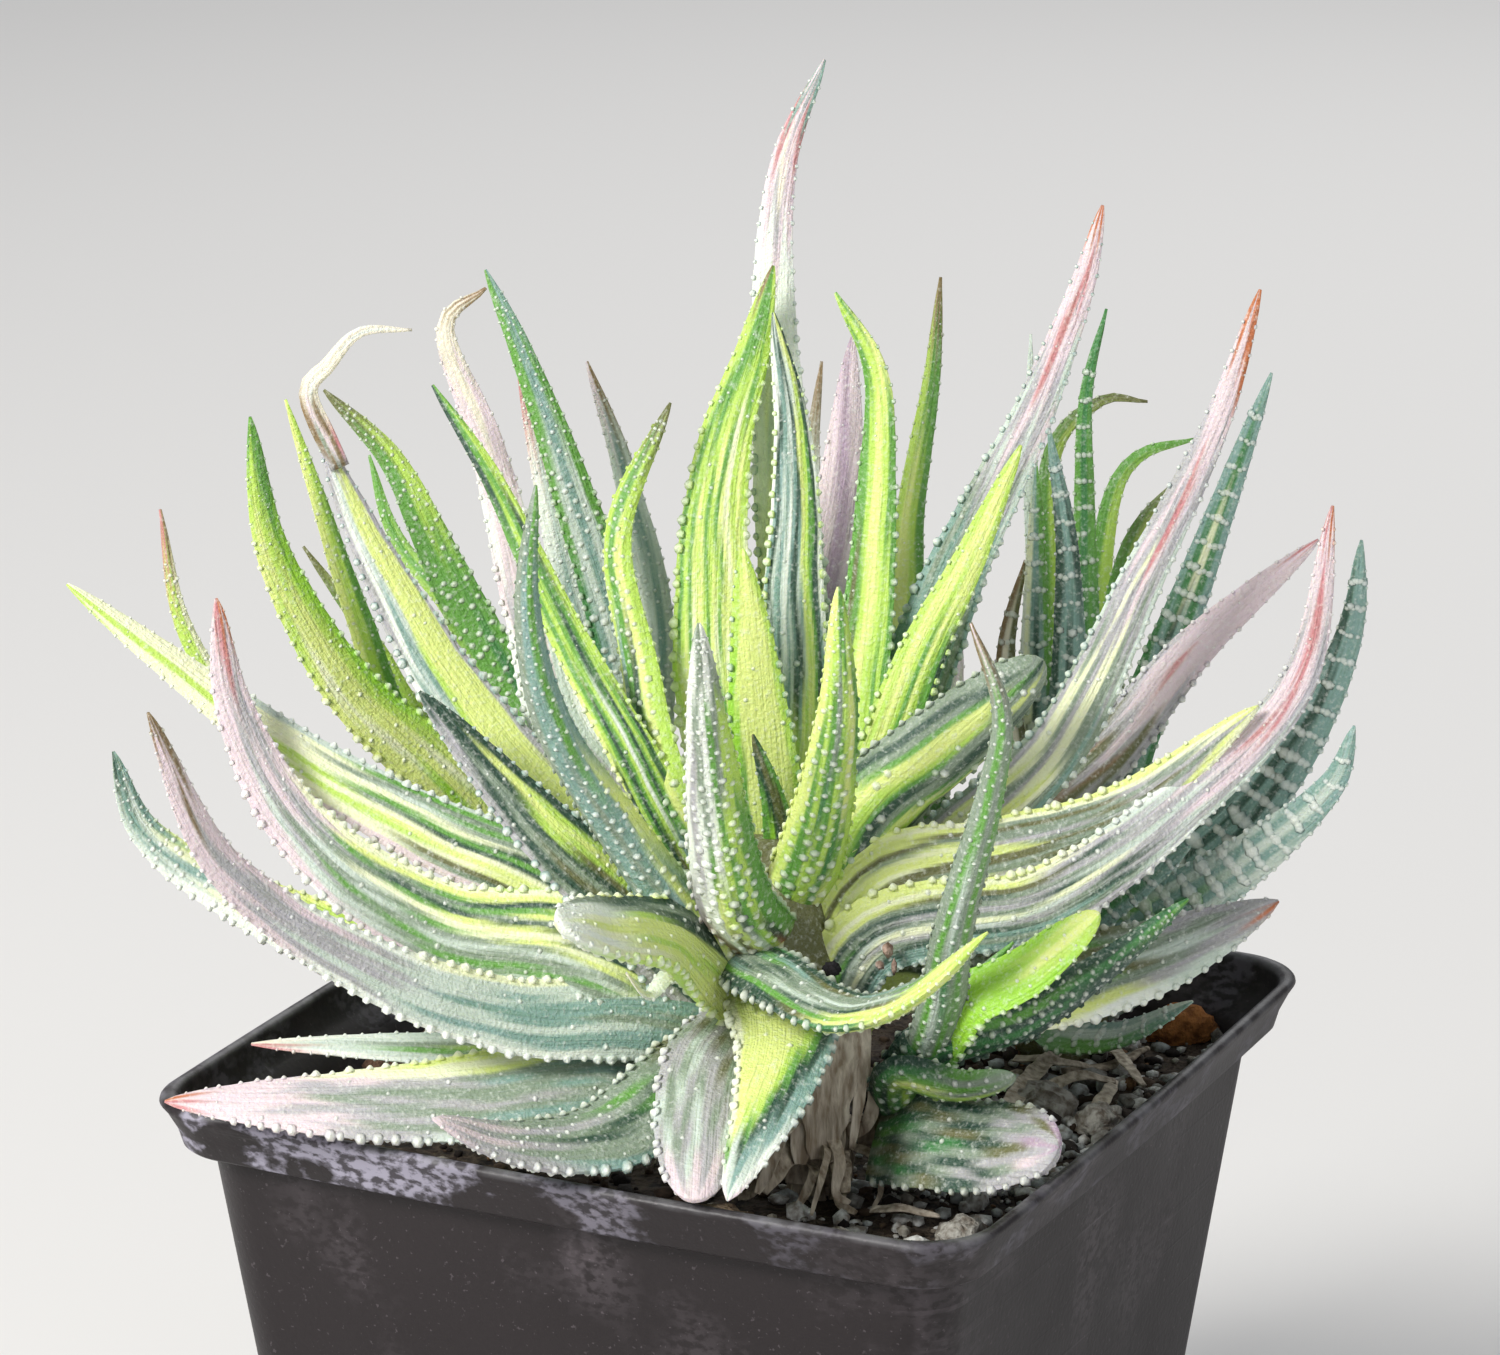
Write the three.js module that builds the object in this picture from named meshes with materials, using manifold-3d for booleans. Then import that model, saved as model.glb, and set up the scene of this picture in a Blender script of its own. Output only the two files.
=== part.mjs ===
// A clump of variegated haworthia in a square nursery pot, in millimetres, +Z up.
// The origin is the middle of the pot's base, with X and Y along the pot's sides.
import * as THREE from 'three';
import { mergeVertices } from 'three/addons/utils/BufferGeometryUtils.js';
import Module from 'manifold-3d';

const wasm = await Module();
wasm.setup();

const UP = new THREE.Vector3(0, 0, 1);

// Pot: a thin moulded square pot with a stepped rim band.
const RIM_HALF = 45; // half the outer width at the lip
const POT_HEIGHT = 80;
const BAND_FOOT = 74.6; // height where the rim band steps out from the body
const RIM_CORNER = 7.6;
const BAND_CORNER = 6.8;
const BODY_CORNER = 6.1;
const BAND_FOOT_HALF = 43.2; // half width at the lower edge of the band
const BODY_TOP_HALF = 40.9; // half width of the body just under the band
const BASE_HALF = 31.6;
const BASE_CORNER = 5;
const WALL = 1;
const FLOOR = 1.4;
const LIP = 1.4; // width of the flat lip
const SIDE_BOW = 0.5; // how far each side bows outwards at its middle
const SIDE_STEPS = 4;
const CORNER_STEPS = 4;
const DRAIN_RADIUS = 3.5;
const DRAIN_OFFSET = 19; // drain holes sit off the centre, towards the corners

// Soil: fills the pot to a little under the rim.
const SOIL_TOP = 72.4;
const SOIL_ROUGHNESS = 0.9;
const CLEAR = 0.3; // gap between pieces that touch
const PIT_CLEAR = 0.45; // a little more under a loose piece, whose faces slant
const HOLE_FLOOR = 60; // depth that the stems reach down to in the soil

// Plants: their own axes are across, towards the back and up, turned on the pot.
const PLANTS_TURN = THREE.MathUtils.degToRad(26);
const STEM_FOOT = [7.5, -24];
const STEM_RADIUS = 3.5;
const STEM_TOP = 79.6;
const OFFSET_RADIUS = 5; // radius of each rear offset's short stem
const REAR_LEFT = [-16, 11];
const REAR_RIGHT = [33, 15];
const FRONT = [17, -23.5];

// Leaves: a blade is a five-sided section carried along a curve.
const RING_STEP = 4.2; // distance between two sections
const TOOTH = 0.5; // how far every second section stands out at the margins
const RIDGE = 0.35; // and on the lower face, for the rows of tubercles
const THICKNESS = 0.34; // blade thickness as a share of its width
const TIP_WIDTH = 0.8;
const BLUNT = 3.5; // a fullness from here on gives a rounded tip

// What a blade's upper face looks towards: across, back, up.
const FACING = [0, -1, 0.3];
const TURNED = [0, 1, 0.3];
const UPWARD = [0, -0.75, 1];

// Each leaf: name, width, fullness of its outline, what the upper face looks
// towards, and its midrib from root to tip, in the plants' own axes.
const MAIN_LEAVES = [
  ['front_middle', 8.6, 1.3, TURNED, [[3, -22, 97], [-1, -30, 105], [-3, -37, 121], [-4, -44, 136]]],
  ['front_right', 7.6, 1.3, TURNED, [[4, -20, 99], [7, -25, 109], [9, -30, 123], [9, -32, 136]]],
  ['dotted_left', 7.4, 1.3, [0.5, 0.7, 0.3],
    [[1, -19, 98], [-7, -19, 112], [-10, -15, 124], [-12, -12, 136], [-7, -9, 148]]],
  ['striped_left', 6, 1.3, FACING,
    [[0, -19, 95], [-10, -21, 115], [-17, -17, 127], [-24, -13, 141], [-30, -10, 150]]],
  ['grey_left', 6.4, 1.3, TURNED,
    [[0, -23, 92], [-12, -30, 112], [-18, -35, 124], [-20, -38, 136], [-19, -40, 148]]],
  ['torn', 9.5, 1.7, [0.2, -1, 0.6], [[0, -22, 90], [-15, -26, 106], [-22, -25, 113], [-31, -23, 123]]],
  ['withered', 10.6, 1.4, [0.3, -1, 0.3],
    [[0, -18, 93], [-19, -18, 110], [-29, -15, 122], [-36, -12, 134], [-41, -10, 145]]],
  ['withered_tip', 2.4, 1.3, [0, -1, 0.2],
    [[-39, -11, 142], [-42, -10, 149], [-40, -10, 152], [-37, -9, 155], [-32, -8, 155]]],
  ['pink_hook', 7.8, 1.3, FACING,
    [[1, -17, 97], [-16, -15, 114], [-21, -10, 128], [-25, -6, 143], [-29, -4, 154], [-25, -3, 158]]],
  ['pale_middle', 8.8, 2, FACING,
    [[2, -16, 103], [-2, -15, 117], [-3, -11, 129], [-2, -7, 142], [1, -4, 152], [3, -2, 160]]],
  ['dark_middle', 7.4, 2, [0.15, -1, 0.3],
    [[4, -16, 103], [5, -13, 115], [5, -10, 128], [5, -7, 143], [3, -5, 156]]],
  ['tallest', 8.6, 1.3, FACING,
    [[3, -15, 102], [5, -8, 123], [4, -4, 139], [3, 0, 156], [4, 3, 169], [8, 5, 179]]],
  ['lime_bud', 7.4, 1.8, FACING, [[3, -18, 105], [2, -17, 114], [1, -16, 125], [0, -15, 135]]],
  ['inner_bud', 3.6, 1.3, FACING, [[4, -19, 104], [3, -20, 111], [1, -21, 118]]],
  ['lime_right', 6.2, 2, [-0.3, -1, 0.3],
    [[5, -17, 101], [10, -15, 111], [12, -11, 125], [13, -8, 138], [13, -6, 150], [9, -5, 158]]],
  ['lime_spear', 7.4, 1.3, FACING,
    [[6, -18, 100], [13, -16, 112], [17, -14, 123], [22, -12, 133], [27, -10, 144]]],
  ['grey_right', 10.6, 0.9, FACING,
    [[6, -17, 97], [15, -12, 116], [21, -8, 131], [28, -5, 145], [33, -3, 158], [35, -2, 166]]],
  ['blunt_right', 9.6, 4, TURNED, [[7, -20, 94], [12, -19, 109], [20, -19, 117], [29, -19, 125]]],
  ['orange_tip', 9.2, 0.9, FACING,
    [[7, -18, 93], [20, -17, 105], [31, -14, 115], [39, -11, 131], [46, -9, 146], [50, -8, 159]]],
  ['pink_right', 9.4, 1.4, FACING,
    [[7, -17, 91], [21, -12, 102], [35, -7, 111], [45, -4, 122], [57, -1, 132]]],
  ['yellow_edge', 10, 1.6, FACING,
    [[7, -22, 91], [13, -23, 103], [25, -22, 106], [37, -20, 110], [50, -18, 120]]],
  ['long_right', 8.6, 1.4, FACING,
    [[7, -23, 88], [13, -25, 99], [29, -24, 102], [43, -20, 111], [54, -16, 122], [57, -14, 139]]],
  ['low_right', 10.4, 3.4, [0, -1, 0.5],
    [[7, -20, 88], [15, -18, 94], [29, -16, 91], [41, -14, 93], [53, -12, 98]]],
  ['back_spear', 5.4, 1.3, FACING,
    [[5, -14, 96], [15, 3, 119], [17, 10, 133], [19, 15, 144], [20, 19, 154]]],
  ['back_pink', 8.6, 1.8, FACING, [[4, -14, 98], [7, 0, 121], [9.8, 8, 136], [11, 14, 149]]],
  ['back_thin', 4.2, 1.3, FACING, [[3, -14, 98], [7, 6, 128], [7, 14, 137], [8, 20, 145]]],
  ['back_left', 8, 1.3, FACING, [[3, -15, 94], [0, -2, 108], [-1, 10, 119], [0, 18, 128]]],
  ['back_middle', 8, 1.3, FACING, [[4, -14, 93], [6, 2, 106], [7, 14, 116], [6, 24, 125]]],
  ['back_right', 8, 1.3, FACING, [[6, -15, 93], [12, 2, 104], [15, 13, 112], [14, 22, 120]]],
  ['back_low', 7, 1.3, FACING, [[7, -17, 91], [16, -8, 102], [20, 0, 111], [22, 8, 119]]],
  ['long_left', 9, 1.3, [0.3, -1, 0.4],
    [[0, -23, 88], [-10, -27, 91], [-23, -31, 93], [-37, -35, 100], [-49, -39, 111], [-55, -43, 127]]],
  ['striped_sickle', 11.2, 1.5, [0.4, -1, 0.4],
    [[-1, -22, 89], [-14, -26, 98], [-29, -25, 100], [-42, -22, 108], [-49, -18, 119], [-51, -15, 130]]],
  ['far_left', 9.2, 1.5, [0.2, -1, 0.5],
    [[-1, -20, 90], [-14, -21, 101], [-30, -18, 107], [-42, -15, 113], [-54, -12, 121], [-66, -10, 130]]],
  ['low_left', 9.5, 2, [0.3, -1, 0.5],
    [[-1, -19, 86], [-18, -14, 90], [-34, -8, 90], [-51, -4, 96], [-60, -2, 102], [-63, -1, 110]]],
  ['front_stub', 8.6, 4, [0, -0.8, 0.8],
    [[0, -24, 92], [-6, -32, 101], [-12, -40, 105], [-17, -47, 108]]],
  ['curl', 3, 1.5, [0, -0.5, 1],
    [[-1, -25, 92], [-4, -28, 95], [-7, -31, 97], [-9, -34, 96], [-11, -36, 99]]],
  ['inside_rim', 6.4, 1.5, UPWARD, [[0, -22, 82], [-18, -24, 86], [-33, -24, 87], [-48, -23, 87]]],
  ['across_rim', 12, 2.1, UPWARD, [[0, -24, 82], [-14, -29, 85], [-33, -32, 84.3], [-56, -29, 83.3]]],
  ['hanging_left', 11.4, 1.7, [0.2, -0.5, 1],
    [[0, -25, 88], [-6, -34, 86.4], [-13, -40, 84], [-21, -44, 84.8], [-29, -48, 88.8]]],
  ['hanging_grey', 9.4, 4, [0, -0.6, 1],
    [[0, -25, 90.5], [-3, -34, 89.2], [-4, -41, 86.2], [-4.5, -50, 81.4]]],
  ['hanging_yellow', 11.6, 1.4, [0, -0.6, 1],
    [[3, -25, 94], [4, -33, 92.3], [3, -41, 89.4], [-1.4, -51, 81.8]]],
  ['front_hook', 7.4, 1.5, [-0.3, -0.4, 1],
    [[-1, -24, 96.5], [3, -33, 97.4], [9.5, -42, 97.3], [16, -48, 101.5], [22.5, -53, 109]]],
];

const REAR_LEFT_LEAVES = [
  ['narrow', 4.8, 1.3, FACING,
    [[-15, 9, 86], [-37, 6, 103], [-50, 4, 112], [-56, 3, 122], [-58, 3, 134]]],
  ['lime_broad', 8.6, 1.4, [0.3, -1, 0.3],
    [[-16, 10, 88], [-31, 8, 105], [-40, 6, 115], [-47, 5, 129], [-49, 5, 143]]],
  ['lime_thin', 4.6, 1.4, FACING,
    [[-15, 11, 90], [-33, 12, 105], [-39, 12, 120], [-43, 12, 133], [-46, 12, 143]]],
  ['short_thin', 4, 1.4, FACING, [[-15, 12, 88], [-32, 16, 106], [-38, 17, 116], [-45, 18, 126]]],
  ['arching', 7.4, 1.4, FACING,
    [[-14, 12, 90], [-24, 17, 110], [-31, 20, 124], [-36, 22, 134], [-43, 24, 141]]],
  ['far_thin', 4.4, 1.4, FACING, [[-14, 13, 90], [-28, 22, 115], [-36, 28, 124], [-39, 32, 132]]],
  ['spotted_tall', 7.4, 1.4, FACING,
    [[-13, 11, 92], [-12, 12, 114], [-17, 14, 132], [-22, 16, 146], [-26, 18, 155]]],
  ['red_tip', 5, 1.4, FACING, [[-13, 13, 90], [-16, 18, 112], [-20, 20, 130], [-23, 22, 144]]],
  ['blue_upright', 5.8, 1.4, FACING, [[-12, 12, 90], [-9, 19, 115], [-12, 22, 132], [-16, 24, 144]]],
  ['back_left', 6, 1.4, FACING, [[-17, 13, 86], [-20, 24, 100], [-22, 33, 112]]],
  ['back_low', 6, 1.4, FACING, [[-18, 12, 84], [-26, 22, 95], [-34, 30, 106]]],
  ['back_right', 6, 1.4, FACING, [[-14, 13, 86], [-10, 24, 98], [-8, 32, 110]]],
  ['foot_back', 6, 1.4, FACING, [[-17, 14, 77], [-22, 24, 84], [-26, 32, 94]]],
  ['foot_right', 5.6, 1.4, FACING, [[-13, 13, 77], [-7, 21, 81], [-1, 29, 88]]],
  ['foot_left', 5.6, 1.4, FACING, [[-19, 12, 77], [-29, 17, 82], [-38, 20, 90]]],
];

const REAR_RIGHT_LEAVES = [
  ['banded_tall', 6.4, 1.4, FACING,
    [[33, 14, 88], [39, 12, 105], [45, 11, 122], [50, 11, 137], [53, 11, 146]]],
  ['banded_sickle', 7.4, 1.4, FACING,
    [[34, 13, 86], [47, 8, 96], [56, 6, 108], [61, 6, 120], [62, 6, 130]]],
  ['banded_low', 7.8, 1.5, FACING,
    [[34, 12, 84], [44, 4, 92], [53, 0, 100], [59, -2, 107], [61, -2, 113]]],
  ['thin_tall', 4.2, 1.3, FACING,
    [[32, 16, 90], [35, 18, 110], [35, 20, 128], [35, 21, 141], [37, 22, 150]]],
  ['arch_high', 4.6, 1.4, FACING,
    [[31, 17, 90], [32, 26, 116], [32, 30, 132], [37, 31, 138], [42, 31, 138]]],
  ['arch_mid', 4.6, 1.4, FACING,
    [[33, 17, 90], [36, 26, 109], [38, 30, 126], [41, 31, 132], [47, 31, 134]]],
  ['arch_low', 4.6, 1.3, FACING, [[33, 16, 88], [37, 22, 108], [40, 25, 124], [46, 26, 132]]],
  ['dotted_front', 5.4, 1.3, FACING, [[31, 14, 90], [33, 12, 107], [33, 14, 126], [31, 16, 139]]],
  ['cream_front', 5, 1.3, FACING, [[31, 15, 90], [30, 15, 104], [30, 18, 120], [30, 20, 134]]],
  ['brown', 4.2, 1.4, FACING, [[31, 14, 88], [28, 14, 104], [27, 17, 115], [29, 20, 124]]],
  ['thin_back', 3.6, 1.3, FACING, [[31, 17, 90], [31, 28, 113], [30, 33, 131], [30, 36, 144]]],
  ['short_front', 5, 1.5, FACING, [[32, 11, 82], [35, 4, 90], [40, 1, 95], [45, -1, 100]]],
  ['on_soil', 5.6, 1.6, UPWARD, [[32, 10, 80], [32, 2, 79], [38, -4, 81], [45, -8, 86]]],
  ['back_left', 6, 1.4, FACING, [[32, 18, 84], [28, 30, 95], [26, 38, 107]]],
  ['back_middle', 6, 1.4, FACING, [[34, 18, 84], [38, 29, 97], [40, 38, 109]]],
  ['back_right', 6, 1.4, FACING, [[36, 16, 82], [45, 23, 92], [52, 28, 101]]],
  ['foot_back', 6, 1.4, FACING, [[33, 18, 77], [34, 29, 82], [33, 38, 90]]],
  ['foot_left', 5.6, 1.4, FACING, [[30, 17, 77], [22, 24, 81], [15, 31, 87]]],
  ['foot_right', 5.2, 1.4, FACING, [[37, 16, 77], [45, 18, 82], [52, 20, 90]]],
];

const FRONT_LEAVES = [
  ['upright', 5, 1.5, TURNED,
    [[16, -26, 82], [19, -32, 94], [20, -37, 104], [23, -41, 118], [24, -43, 127], [21, -44, 136]]],
  ['dark_long', 7, 1.4, [0, 1, 0.2],
    [[16, -25, 82], [18, -29, 89], [27, -29, 92], [35, -28, 97], [43, -26, 103]]],
  ['lime_blunt', 5.6, 4, [0, -1, 0.8], [[16, -26, 83], [21, -32, 94], [27, -33, 98], [34, -33, 104]]],
  ['short_dark', 3.6, 1.3, TURNED, [[16, -24, 83], [21, -29, 94], [26, -30, 100]]],
  ['low_dotted', 4.8, 4, [0, 1, 0.4], [[15, -26, 81], [15, -31, 87], [21, -34, 87], [26, -37, 89]]],
  ['resting_on_rim', 10, 4.6, [0.1, -1.2, 1],
    [[13, -29, 79], [16, -32, 80.5], [22, -36, 81.4], [30, -42, 83.6]]],
];

// Loose pieces on the soil: place across and back, length, width, height, turn.
const PUMICE = [
  ['pumice_1', 30.5, -4, 8, 6, 5, 20],
  ['pumice_2', 36, -8.5, 6, 5, 4, 80],
  ['pumice_3', 27, -12, 5, 4, 4, 40],
  ['pumice_4', 21, -39, 6, 5, 4, 10],
  ['pumice_5', 9, -42, 5, 4, 4, 65],
];
const BARK = [
  ['bark_1', 46, 18.2, 8, 4, 6, -26],
  ['bark_2', -38, -3, 10, 6, 4, -20],
  ['bark_3', -26, -27, 8, 5, 4, -26],
  ['bark_4', -2, -36, 7, 5, 4, 75],
  ['bark_5', 10, 34, 11, 6, 4, 15],
  ['bark_6', -35.5, 9, 8, 5, 4, 50],
];
// Dry grass-like strips lying on the soil: width and midline.
const STRAWS = [
  ['straw_1', 2.4, [[22, -6, 73.3], [24, 1, 73.3], [28.5, 6, 73.3]]],
  ['straw_2', 1.8, [[33, 5, 73.6], [38, 7, 73.6], [42, 12, 73.6]]],
];

function seededRandom(seed) {
  let state = seed;
  return () => {
    state = (state * 1664525 + 1013904223) % 4294967296;
    return state / 4294967296;
  };
}

// Joins rings of equal point count into one closed skin with flat end caps.
// Each ring runs counter-clockwise when seen from the far end of the path.
function loft(rings) {
  const count = rings[0].length;
  const positions = rings.flat().flatMap((point) => [point.x, point.y, point.z]);
  const triangles = [];
  for (let ring = 0; ring + 1 < rings.length; ring += 1) {
    for (let i = 0; i < count; i += 1) {
      const a = ring * count + i;
      const b = ring * count + ((i + 1) % count);
      triangles.push(a, b, a + count, b, b + count, a + count);
    }
  }
  const last = (rings.length - 1) * count;
  for (let i = 1; i + 1 < count; i += 1) {
    triangles.push(0, i + 1, i);
    triangles.push(last, last + i, last + i + 1);
  }
  const geometry = new THREE.BufferGeometry();
  geometry.setAttribute('position', new THREE.Float32BufferAttribute(positions, 3));
  geometry.setIndex(triangles);
  return geometry;
}

function toSolid(geometry) {
  return new wasm.Manifold(new wasm.Mesh({
    numProp: 3,
    vertProperties: new Float32Array(geometry.attributes.position.array),
    triVerts: new Uint32Array(geometry.index.array),
  }));
}

function toMesh(name, solid, color, roughness) {
  const { vertProperties, triVerts } = solid.getMesh();
  const geometry = new THREE.BufferGeometry();
  geometry.setAttribute('position', new THREE.BufferAttribute(vertProperties, 3));
  geometry.setIndex(new THREE.BufferAttribute(triVerts, 1));
  const mesh = new THREE.Mesh(geometry, new THREE.MeshStandardMaterial({ color, roughness, metalness: 0 }));
  mesh.name = name;
  return mesh;
}

// A square with rounded corners and slightly bowed sides, at one height.
function squareRing(half, corner, z, bow = SIDE_BOW) {
  const straight = half - corner;
  const ring = [];
  for (let side = 0; side < 4; side += 1) {
    const quarter = [];
    for (let k = 1; k < SIDE_STEPS; k += 1) {
      const along = (2 * k) / SIDE_STEPS - 1;
      quarter.push(new THREE.Vector3(half + bow * (1 - along ** 2), straight * along, z));
    }
    for (let k = 0; k <= CORNER_STEPS; k += 1) {
      const angle = (k / CORNER_STEPS) * (Math.PI / 2);
      const x = straight + corner * Math.cos(angle);
      quarter.push(new THREE.Vector3(x, straight + corner * Math.sin(angle), z));
    }
    ring.push(...quarter.map((point) => point.applyAxisAngle(UP, (side * Math.PI) / 2)));
  }
  return ring;
}

function discRing(x, y, z, radius, sides) {
  return Array.from({ length: sides }, (_, i) => {
    const angle = (i / sides) * Math.PI * 2;
    return new THREE.Vector3(x + radius * Math.cos(angle), y + radius * Math.sin(angle), z);
  });
}

// A stack of round sections: each is x, y, height and radius.
function turnedStack(sections, sides) {
  return toSolid(loft(sections.map(([x, y, z, radius]) => discRing(x, y, z, radius, sides))));
}

function midCurve(points) {
  const places = points.map((point) => new THREE.Vector3(...point));
  return new THREE.CatmullRomCurve3(places, false, 'catmullrom', 0.5);
}

// Places a flat section across a curve, with its height kept as near as the
// curve allows to the direction that its upper face looks towards.
function sectionAt(curve, share, looks, section) {
  const along = curve.getTangentAt(share);
  const up = new THREE.Vector3(...looks).normalize();
  up.addScaledVector(along, -up.dot(along)).normalize();
  const side = new THREE.Vector3().crossVectors(along, up);
  const centre = curve.getPointAt(share);
  return section.map(([across, height]) => (
    centre.clone().addScaledVector(side, across).addScaledVector(up, height)));
}

// Half the outer width of the pot's body at a height.
function bodyHalfAt(z) {
  return BASE_HALF + ((BODY_TOP_HALF - BASE_HALF) * z) / BAND_FOOT;
}

function makePot() {
  const outer = toSolid(loft([
    squareRing(BASE_HALF, BASE_CORNER, 0, 0),
    squareRing(BODY_TOP_HALF, BODY_CORNER, BAND_FOOT),
    squareRing(BAND_FOOT_HALF, BAND_CORNER, BAND_FOOT + 0.01),
    squareRing(RIM_HALF - 0.2, RIM_CORNER, POT_HEIGHT - 1),
    squareRing(RIM_HALF, RIM_CORNER, POT_HEIGHT - 0.5),
    squareRing(RIM_HALF - 0.3, RIM_CORNER - 0.3, POT_HEIGHT),
  ]));
  const inner = toSolid(loft([
    squareRing(bodyHalfAt(FLOOR) - WALL, BASE_CORNER - WALL, FLOOR, 0),
    squareRing(BODY_TOP_HALF - WALL, BODY_CORNER - WALL, BAND_FOOT),
    squareRing(BAND_FOOT_HALF - WALL, BAND_CORNER - WALL, BAND_FOOT + 1.6),
    squareRing(RIM_HALF - LIP, RIM_CORNER - LIP, POT_HEIGHT),
    squareRing(RIM_HALF - LIP, RIM_CORNER - LIP, POT_HEIGHT + 1),
  ]));
  let pot = outer.subtract(inner);
  for (const x of [-DRAIN_OFFSET, DRAIN_OFFSET]) {
    for (const y of [-DRAIN_OFFSET, DRAIN_OFFSET]) {
      pot = pot.subtract(turnedStack([[x, y, -1, DRAIN_RADIUS], [x, y, FLOOR + 1, DRAIN_RADIUS]], 12));
    }
  }
  return pot;
}

// The soil is a plug with a rough top, plain holes for the stems and a pit
// under each loose piece.
function makeSoil(pits) {
  const random = seededRandom(7);
  const bottom = FLOOR + CLEAR;
  const topHalf = bodyHalfAt(SOIL_TOP) - WALL - CLEAR - 0.3;
  const topCorner = BODY_CORNER - WALL - CLEAR;
  const rings = [
    squareRing(bodyHalfAt(bottom) - WALL - CLEAR, BASE_CORNER - WALL, bottom, 0),
    squareRing(topHalf, topCorner, SOIL_TOP - 0.6),
  ];
  for (const share of [0.88, 0.74, 0.6, 0.46, 0.32, 0.18]) {
    const ring = squareRing(topHalf * share, topCorner * share, SOIL_TOP, SIDE_BOW * share);
    for (const point of ring) {
      point.z += (random() * 2 - 1) * SOIL_ROUGHNESS * share;
    }
    rings.push(ring);
  }
  let soil = toSolid(loft(rings));
  const stems = [[STEM_FOOT, STEM_RADIUS], [REAR_LEFT, OFFSET_RADIUS], [REAR_RIGHT, OFFSET_RADIUS]];
  for (const [[across, back], radius] of stems) {
    const { x, y } = new THREE.Vector3(across, back, 0).applyAxisAngle(UP, PLANTS_TURN);
    const hole = (radius + CLEAR) / Math.cos(Math.PI / 12);
    soil = soil.subtract(turnedStack([[x, y, HOLE_FLOOR, hole], [x, y, SOIL_TOP + 5, hole]], 12));
  }
  for (const pit of pits) {
    soil = soil.subtract(pit);
  }
  return soil;
}

function bladeWidth(share, width, fullness) {
  const root = 0.8 + 0.2 * Math.min(1, share / 0.2);
  const power = fullness >= BLUNT ? 0.5 : 0.75;
  return Math.max(TIP_WIDTH, width * root * (1 - share ** fullness) ** power);
}

// One leaf: a five-sided section along the midrib, wider at every second
// section so that the margins are toothed and the lower face is ridged.
function makeLeaf([, width, fullness, looks, midrib]) {
  const curve = midCurve(midrib);
  const steps = Math.max(4, Math.round(curve.getLength() / RING_STEP));
  const rings = [];
  for (let k = 0; k <= steps; k += 1) {
    const even = k / steps;
    const share = fullness >= BLUNT ? 1 - (1 - even) ** 1.6 : even;
    const blade = bladeWidth(share, width, fullness);
    const toothed = k % 2 === 1 && k < steps && blade > 2;
    const half = blade / 2 + (toothed ? TOOTH : 0);
    const depth = Math.max(TIP_WIDTH, blade * THICKNESS) + (toothed ? RIDGE : 0);
    rings.push(sectionAt(curve, share, looks, [
      [-half, 0], [0, 0.05 * blade], [half, 0], [half * 0.5, -depth], [-half * 0.5, -depth],
    ]));
  }
  return toSolid(loft(rings));
}

// Fuses the leaves with their core; pockets closed in between leaves are filled.
function makeRosette(leaves, core) {
  const fused = wasm.Manifold.union([core, ...leaves.map(makeLeaf)]);
  return wasm.Manifold.union(fused.decompose().filter((body) => body.volume() > 0));
}

function makeMainCore() {
  return turnedStack([
    [3, -22, 80, 5.5], [3, -22, 86, 6.6], [3, -21, 95, 6.8], [3.5, -19.5, 103, 4.6], [3.5, -19, 107, 2.4],
  ], 8);
}

function makeOffsetCore([x, y], top) {
  const foot = HOLE_FLOOR + CLEAR;
  return turnedStack([[x, y, foot, OFFSET_RADIUS], [x, y, top - 5, OFFSET_RADIUS], [x, y, top, 3]], 8);
}

// The front offset sits on a short side shoot that comes from the old stem.
function makeFrontCore() {
  const [x, y] = FRONT;
  const crown = turnedStack([[x, y, 76.5, 2.6], [x, y, 79, 4.6], [x, y, 85, 3.4]], 8);
  const shootStart = STEM_FOOT[0] + STEM_RADIUS + CLEAR;
  const shoot = midCurve([[shootStart, STEM_FOOT[1], 78.4], [x, y, 78.4]]);
  const section = [[-1.6, 0.8], [0, 1.8], [1.6, 0.8], [1.6, -0.8], [0, -1.8], [-1.6, -0.8]];
  return crown.add(toSolid(loft([0, 1].map((share) => sectionAt(shoot, share, [0, 0, 1], section)))));
}

// A flat strip along a curve, for dried sheaths and straw.
function makeStrip(width, thickness, midline, looks) {
  const curve = midCurve(midline);
  const steps = Math.max(3, Math.round(curve.getLength() / 3));
  const rings = [];
  for (let k = 0; k <= steps; k += 1) {
    const half = (width / 2) * (1 - 0.45 * (k / steps) ** 3);
    const rise = thickness / 2;
    rings.push(sectionAt(curve, k / steps, looks, [
      [-half, rise], [half, rise], [half, -rise], [-half, -rise],
    ]));
  }
  return toSolid(loft(rings));
}

// The old stem: a ribbed stub with dried leaf sheaths still hanging on it.
function makeStem() {
  const [x, y] = STEM_FOOT;
  const random = seededRandom(11);
  const rings = [HOLE_FLOOR + CLEAR, 66, 70, 73, 76, STEM_TOP].map((z) => (
    discRing(x, y, z, STEM_RADIUS, 12).map((point, i) => {
      const pull = i % 2 === 0 ? 0 : (0.25 + 0.2 * random()) / STEM_RADIUS;
      return point.lerp(new THREE.Vector3(x, y, z), pull);
    })));
  const sheaths = [
    makeStrip(6, 1, [[7, -27.1, 74], [7.2, -27.7, 76.6], [7.4, -28, 79]], FACING),
    makeStrip(2.4, 0.9, [[8.4, -26.9, 75], [8.7, -27.6, 79], [9, -28.4, 82]], FACING),
    makeStrip(2.2, 0.8, [[6, -26.6, 77.8], [4, -29.4, 77.4], [2, -31, 74.6]], FACING),
    makeStrip(2, 0.8, [[9.4, -26.6, 77], [9.6, -29.6, 76.5], [10, -31.6, 74.8]], FACING),
  ];
  return wasm.Manifold.union([toSolid(loft(rings)), ...sheaths]);
}

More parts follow.
